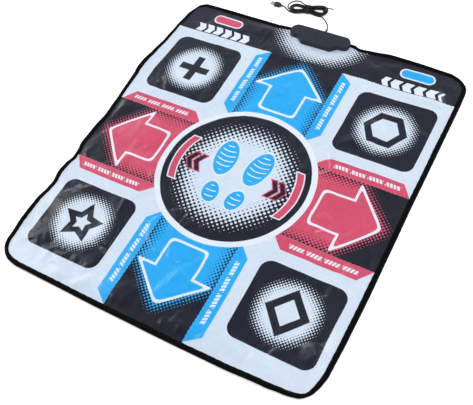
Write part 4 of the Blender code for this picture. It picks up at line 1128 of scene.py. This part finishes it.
# Where a corner square is cut, the three corners that each of the two rims gets
MITRES = {
    ("left", "front"): (("left", (0, 2, 3)), ("front", (0, 1, 2))),
    ("right", "front"): (("front", (0, 1, 3)), ("right", (1, 2, 3))),
    ("left", "rear"): (("left", (0, 1, 3)), ("rear", (1, 2, 3))),
    ("right", "rear"): (("rear", (0, 2, 3)), ("right", (0, 1, 2))),
}


def zone_rect(name):
    x, y, hx, hy, inset, _ = ZONES[name]
    return x - hx + inset, y - hy + inset, x + hx - inset, y + hy - inset


def make_cover():
    """The cover over everything that stays still, with rectangles left for the step zones."""
    rects = [zone_rect(name) for name in ZONES]
    flat, faces = cut_sheet(COVER_IN, box_notch(BOX_LAP), rects, COVER_SPACING)
    mesh = cover_sheet("printed_cover", flat, faces)
    return add_object("printed_cover", mesh, M["print"],
                      replaced=("top_cover",))


def zone_lines(low, high, give):
    """Grid lines across a zone, with rows of their own in its rims."""
    steps = [give * k / GIVE_ROWS for k in range(GIVE_ROWS)]
    inner = grid_lines([low + give, high - give], ZONE_SPACING)
    return [low + step for step in steps] + inner + [high - step for step in reversed(steps)]


def zone_parts(xs, ys):
    """A zone's squares in five groups: its middle and four rims, mitred at the corners."""
    parts = {"middle": [], "left": [], "right": [], "front": [], "rear": []}
    for i, j, corners in grid_squares(xs, ys):
        near = {"left": i, "right": len(xs) - 2 - i, "front": j, "rear": len(ys) - 2 - j}
        depth = min(near.values())
        sides = tuple(side for side, value in near.items() if value == depth)
        if depth >= GIVE_ROWS:
            parts["middle"].append(corners)
        elif len(sides) == 1:
            parts[sides[0]].append(corners)
        else:
            for side, picked in MITRES[sides]:
                parts[side].append([corners[n] for n in picked])
    return parts


def make_zone(name):
    """One step zone: a flat middle that moves with its pad, and four mitred rims round it."""
    x0, y0, x1, y1 = zone_rect(name)
    give = ZONES[name][-1]
    body = "pad_" + name
    xs, ys = zone_lines(x0, x1, give), zone_lines(y0, y1, give)
    pieces = []
    for part, faces in zone_parts(xs, ys).items():
        label = f"zone_{name}_{part}"
        mesh = cover_sheet(label, *tidy_faces(grid_points(xs, ys), faces))
        if part == "middle":
            thing = add_object(label, mesh, M["print"], body, ("step_zone_" + name,))
        else:
            thing = add_object(label, mesh, M["print"], None)
            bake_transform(thing)
        pieces.append(thing)
    return pieces


cover = make_cover()
zone_pieces = [piece for name in ZONES for piece in make_zone(name)]


# Layers under the cover

LAYER_SPACING = 0.0100
# How far in from the mat's edge a sheet starts to rise over the tape's lower arm, and is up
RISE_FROM, RISE_TO = 0.0130, 0.0104


def layer(name, node, low, high, material, inset=0.0022, lap=0.0072, openings=(), tail=(),
          rim=(0.0, 0.0)):
    """One hidden sheet, waved as the mat is; a tail is how far it reaches across in the box,
    and its rim lies higher over the tape, by these heights below and above."""
    notch = box_notch(lap)
    more_x, more_y = list(tail), []
    if tail:
        root = notch[3][1]
        tip = root + TAIL_LENGTH
        notch[4:4] = [(tail[0], root), (tail[0], tip), (tail[1], tip), (tail[1], root)]
        more_y += [root, tip]
    if any(rim):
        for more, half in ((more_x, MAT_X), (more_y, MAT_Y)):
            more += [side * (half - at) for side in (-1, 1) for at in (RISE_TO, RISE_FROM)]
    flat, faces = cut_sheet(inset, notch, openings, LAYER_SPACING, more_x, more_y)
    risen = np.clip((RISE_FROM + mat_distance(flat, 0.0)[0]) / (RISE_FROM - RISE_TO), 0, 1)
    top = settle(np.column_stack([flat, high + risen * rim[1]]))
    bottom = settle(np.column_stack([flat, low + risen * rim[0]]))
    return add_object(name, thick_sheet(name, faces, top, bottom), material,
                      replaced=(node,))


full_rects = [(x - hx, y - hy, x + hx, y + hy) for x, y, hx, hy, _, _ in ZONES.values()]
base = layer("nonslip_base", "base_sheet", 0.0, 0.0010, M["base"], 0.0030, 0.0076,
             rim=(0.00125, 0.00105))
layer("foam_sheet", "cushion_foam", 0.0013, 0.0041, M["foam"], rim=(0.00105, 0.0))
layer("spacer_sheet", "spacer_foam", 0.0050, 0.0065, M["foam"], openings=full_rects)
layer("lower_film", "lower_contact_film", 0.0044, 0.0047, M["film"],
      tail=(-0.026, -0.002))
layer("upper_film", "upper_contact_film", 0.0068, 0.0071, M["film"],
      openings=full_rects, tail=(0.002, 0.026))


# Binding and stitches

# The tape's section as (in from the edge, height), in mm, from its lower inner end round the nose
TAPE = [(10.0, 0.35), (9.0, 0.05), (6.0, 0.0), (2.6, 0.1), (0.7, 0.7), (-0.4, 2.0), (-0.9, 3.8),
        (-0.9, 5.8), (-0.4, 7.8), (0.7, 9.4), (2.3, 10.5), (4.2, 11.0), (6.0, 10.7), (7.5, 9.8),
        (8.4, 9.2), (9.2, 9.35), (10.2, 9.4), (11.0, 9.05), (11.4, 8.5), (10.4, 8.4), (5.0, 8.35),
        (1.9, 8.3), (1.3, 7.6), (1.3, 1.6), (1.9, 1.2), (9.2, 1.15)]
TAPE_STEP = 0.0023
# Above this height in mm the section is the tape's upper arm
ARM_Z = 8.3
# On each side of the box: the tape's end, where it starts to wave, and the first stitch
TAPE_END, TAPE_FREE, STITCH_END = 0.0786, 0.094, 0.100
# Past this y a station is on the edge with the box
REAR_FROM = 0.46
STITCH_PITCH = 0.0046
# One stitch, in mm: places along it and its radius there, how far in it lies and how high
STITCH = [(-1.55, 0.10), (-1.2, 0.24), (0.0, 0.30), (1.2, 0.24), (1.55, 0.10)]
STITCH_IN, STITCH_Z = 8.45, 9.22
STITCH_SIDES = 6


def edge_path(spacing):
    """Stations round the mat, from the left side of the box to its right: place and way in."""
    x, y, r = MAT_X, MAT_Y, MAT_R
    path = []

    def straight(a, b, inward):
        a, b = Vector(a), Vector(b)
        pieces = max(1, round((b - a).length / spacing))
        path.extend((a.lerp(b, k / pieces), Vector(inward)) for k in range(pieces))

    def corner(cx, cy, start):
        pieces = round(r * math.pi / 2 / spacing)
        for k in range(pieces):
            angle = start + math.pi / 2 * k / pieces
            out = Vector((math.cos(angle), math.sin(angle)))
            path.append((Vector((cx, cy)) + out * r, -out))

    straight((-TAPE_END, y), (-x + r, y), (0, -1))
    corner(-x + r, y - r, math.pi / 2)
    straight((-x, y - r), (-x, -y + r), (1, 0))
    corner(-x + r, -y + r, math.pi)
    straight((-x + r, -y), (x - r, -y), (0, 1))
    corner(x - r, -y + r, math.pi * 1.5)
    straight((x, -y + r), (x, y - r), (-1, 0))
    corner(x - r, y - r, 0.0)
    straight((x - r, y), (TAPE_END, y), (0, -1))
    path.append((Vector((TAPE_END, y)), Vector((0, -1))))
    return path


def tape_ring(place, inward, run, phases):
    """The tape's section at one station: padded by the layers, drawn down at its stitches."""
    at_rear = place.y > REAR_FROM
    free = min(1.0, max(0.0, (abs(place.x) - TAPE_FREE) / 0.012)) if at_rear else 1.0
    slow = sum(math.sin(run / size + p) for size, p in zip((0.021, 0.034, 0.055), phases)) / 3
    quick = math.sin(run / 0.0031 + 2.2 * math.sin(run / 0.027 + phases[3]))
    pucker = math.cos(TURN * run / STITCH_PITCH)
    ring = []
    for inset, z in TAPE:
        # The padded top, the stitches' groove, the arm's free edge and the fold, each where it is
        crown = math.exp(-((inset - 4.2) / 2.6) ** 2) if z > 8.0 else 0.0
        groove = math.exp(-((inset - 8.5) / 1.1) ** 2) if z > 8.6 else 0.0
        rim = max(0.0, inset - 9.6) if z > ARM_Z else 0.0
        nose = min(1.0, max(0.0, 1 - inset / 1.6))
        z_now = z + free * (crown * (0.35 * slow + 0.22 * quick) - 0.16 * groove * pucker)
        in_now = inset + free * (rim * (0.30 * slow + 0.12 * quick) - 0.09 * nose * quick)
        # By the box the arm lies low enough to pass under the box's lip
        if free < 1.0 and z > ARM_Z:
            limit = 9.2 if inset < 9.9 else 8.55
            z_now = z_now * free + min(z_now, limit) * (1 - free)
        spot = place + inward * (in_now * MM)
        ring.append((spot.x, spot.y, max(z_now, 0.0) * MM))
    return ring


def make_binding():
    """Black tape folded round the edge, in one run from one side of the box to the other."""
    phases = np.random.default_rng(21).uniform(0, TURN, 6)
    path = edge_path(TAPE_STEP)
    rings = []
    run = 0.0
    last = path[0][0]
    for place, inward in path:
        run += (place - last).length
        last = place
        rings.append(tape_ring(place, inward, run, phases))
    verts, faces = skin(rings)
    mesh = build_mesh("binding_tape", settle(verts), faces)
    turn_out(mesh)
    return add_object("binding_tape", mesh, M["binding"], replaced=("edge_binding",))


def make_stitches():
    """The row of stitches that holds the tape, each a short thread sunk in its groove."""
    path = edge_path(STITCH_PITCH)
    turns = [TURN * i / STITCH_SIDES for i in range(STITCH_SIDES)]
    parts = []
    for (a, inward_a), (b, inward_b) in zip(path, path[1:]):
        middle = (a + b) / 2
        if middle.y > REAR_FROM and abs(middle.x) < STITCH_END:
            continue
        along = (b - a).normalized()
        inward = (inward_a + inward_b).normalized()
        rings = []
        for reach, radius in STITCH:
            arch = STITCH_Z - 0.10 * (reach / STITCH[-1][0]) ** 2
            spots = [middle + along * reach * MM + inward * (STITCH_IN + radius * math.cos(t)) * MM
                     for t in turns]
            rings.append([(spot.x, spot.y, (arch + radius * math.sin(t)) * MM)
                          for spot, t in zip(spots, turns)])
        parts.append(skin(rings))
    verts, faces = join(parts)
    mesh = build_mesh("binding_stitches", settle(verts), faces)
    turn_out(mesh)
    return add_object("binding_stitches", mesh, M["thread"])


binding = make_binding()
stitches = make_stitches()


# Floor and light

FLOOR_HALF, FLOOR_Z = 40, -0.0003
LAMP_COLOUR = (0.94, 0.97, 1.0)
# Each lamp's place, target, size and power
LAMPS = {
    "overhead": ((1.05, 0.0, 3.05), (0.0, 0.0, 0.0), (1.8, 1.8), 48.0),
    "window": ((-1.9, 0.0, 1.65), (-0.05, 0.0, 0.0), (0.9, 0.9), 10.0),
    "corner": ((-2.0, 1.0, 1.1), (-0.2, 0.1, 0.0), (0.6, 0.6), 5.0),
    "rear": ((0.9, 1.9, 1.2), (0.1, 0.1, 0.0), (0.9, 0.6), 6.0),
}


def make_floor():
    """A pale floor that glows to the camera and in reflections, and lights nothing by that."""
    corners = [(x * FLOOR_HALF, y * FLOOR_HALF, FLOOR_Z)
               for x, y in ((-1, -1), (1, -1), (1, 1), (-1, 1))]
    mesh = build_mesh("floor", corners, [[0, 1, 2, 3]], smooth=False)
    s = Shader(bpy.data.materials.new("pale_floor"))
    camera, glossy, through = s.outputs(
        "LightPath", ("Is Camera Ray", "Is Glossy Ray", "Is Transmission Ray"))
    seen = camera.most(glossy).most(through)
    s.set(Base_Color=(0.92, 0.92, 0.92, 1.0), Roughness=0.9, Emission_Color=(1, 1, 1, 1),
          Emission_Strength=seen * 0.50, Specular_IOR_Level=0.1)
    floor = link("floor", mesh)
    mesh.materials.append(s.owner)


def make_world():
    """A plain studio: a pale world, paler at the horizon than overhead."""
    s = Shader(bpy.data.worlds.new("studio"), "BACKGROUND", "Generated")
    x, y, z = s.axes()
    behind = (y - x * 0.6).ramp(-0.5, 0.4) * 0.68 + 0.32
    panels = ((x * 13.0 + y * 5.0).cos() * (y * 12.0 - x * 4.0).cos()) * 0.28 + 1.0
    above = (z.ramp(0.50, 0.97) * -0.72 + 1.0) * behind * panels
    s.set(Color=(0.93, 0.97, 1.03, 1.0), Strength=above.mix(1.08, z.ramp(0.40, 0.25)))
    bpy.context.scene.world = s.owner


def make_lamps():
    for name, (place, target, size, power) in LAMPS.items():
        data = bpy.data.lights.new(name, "AREA")
        data.shape = "RECTANGLE"
        data.size, data.size_y = size
        data.energy = power
        data.color = LAMP_COLOUR
        lamp = link(name, data)
        lamp.location = place
        aim = Vector(target) - Vector(place)
        lamp.rotation_euler = aim.to_track_quat("-Z", "Y").to_euler()


make_floor()
make_world()
make_lamps()
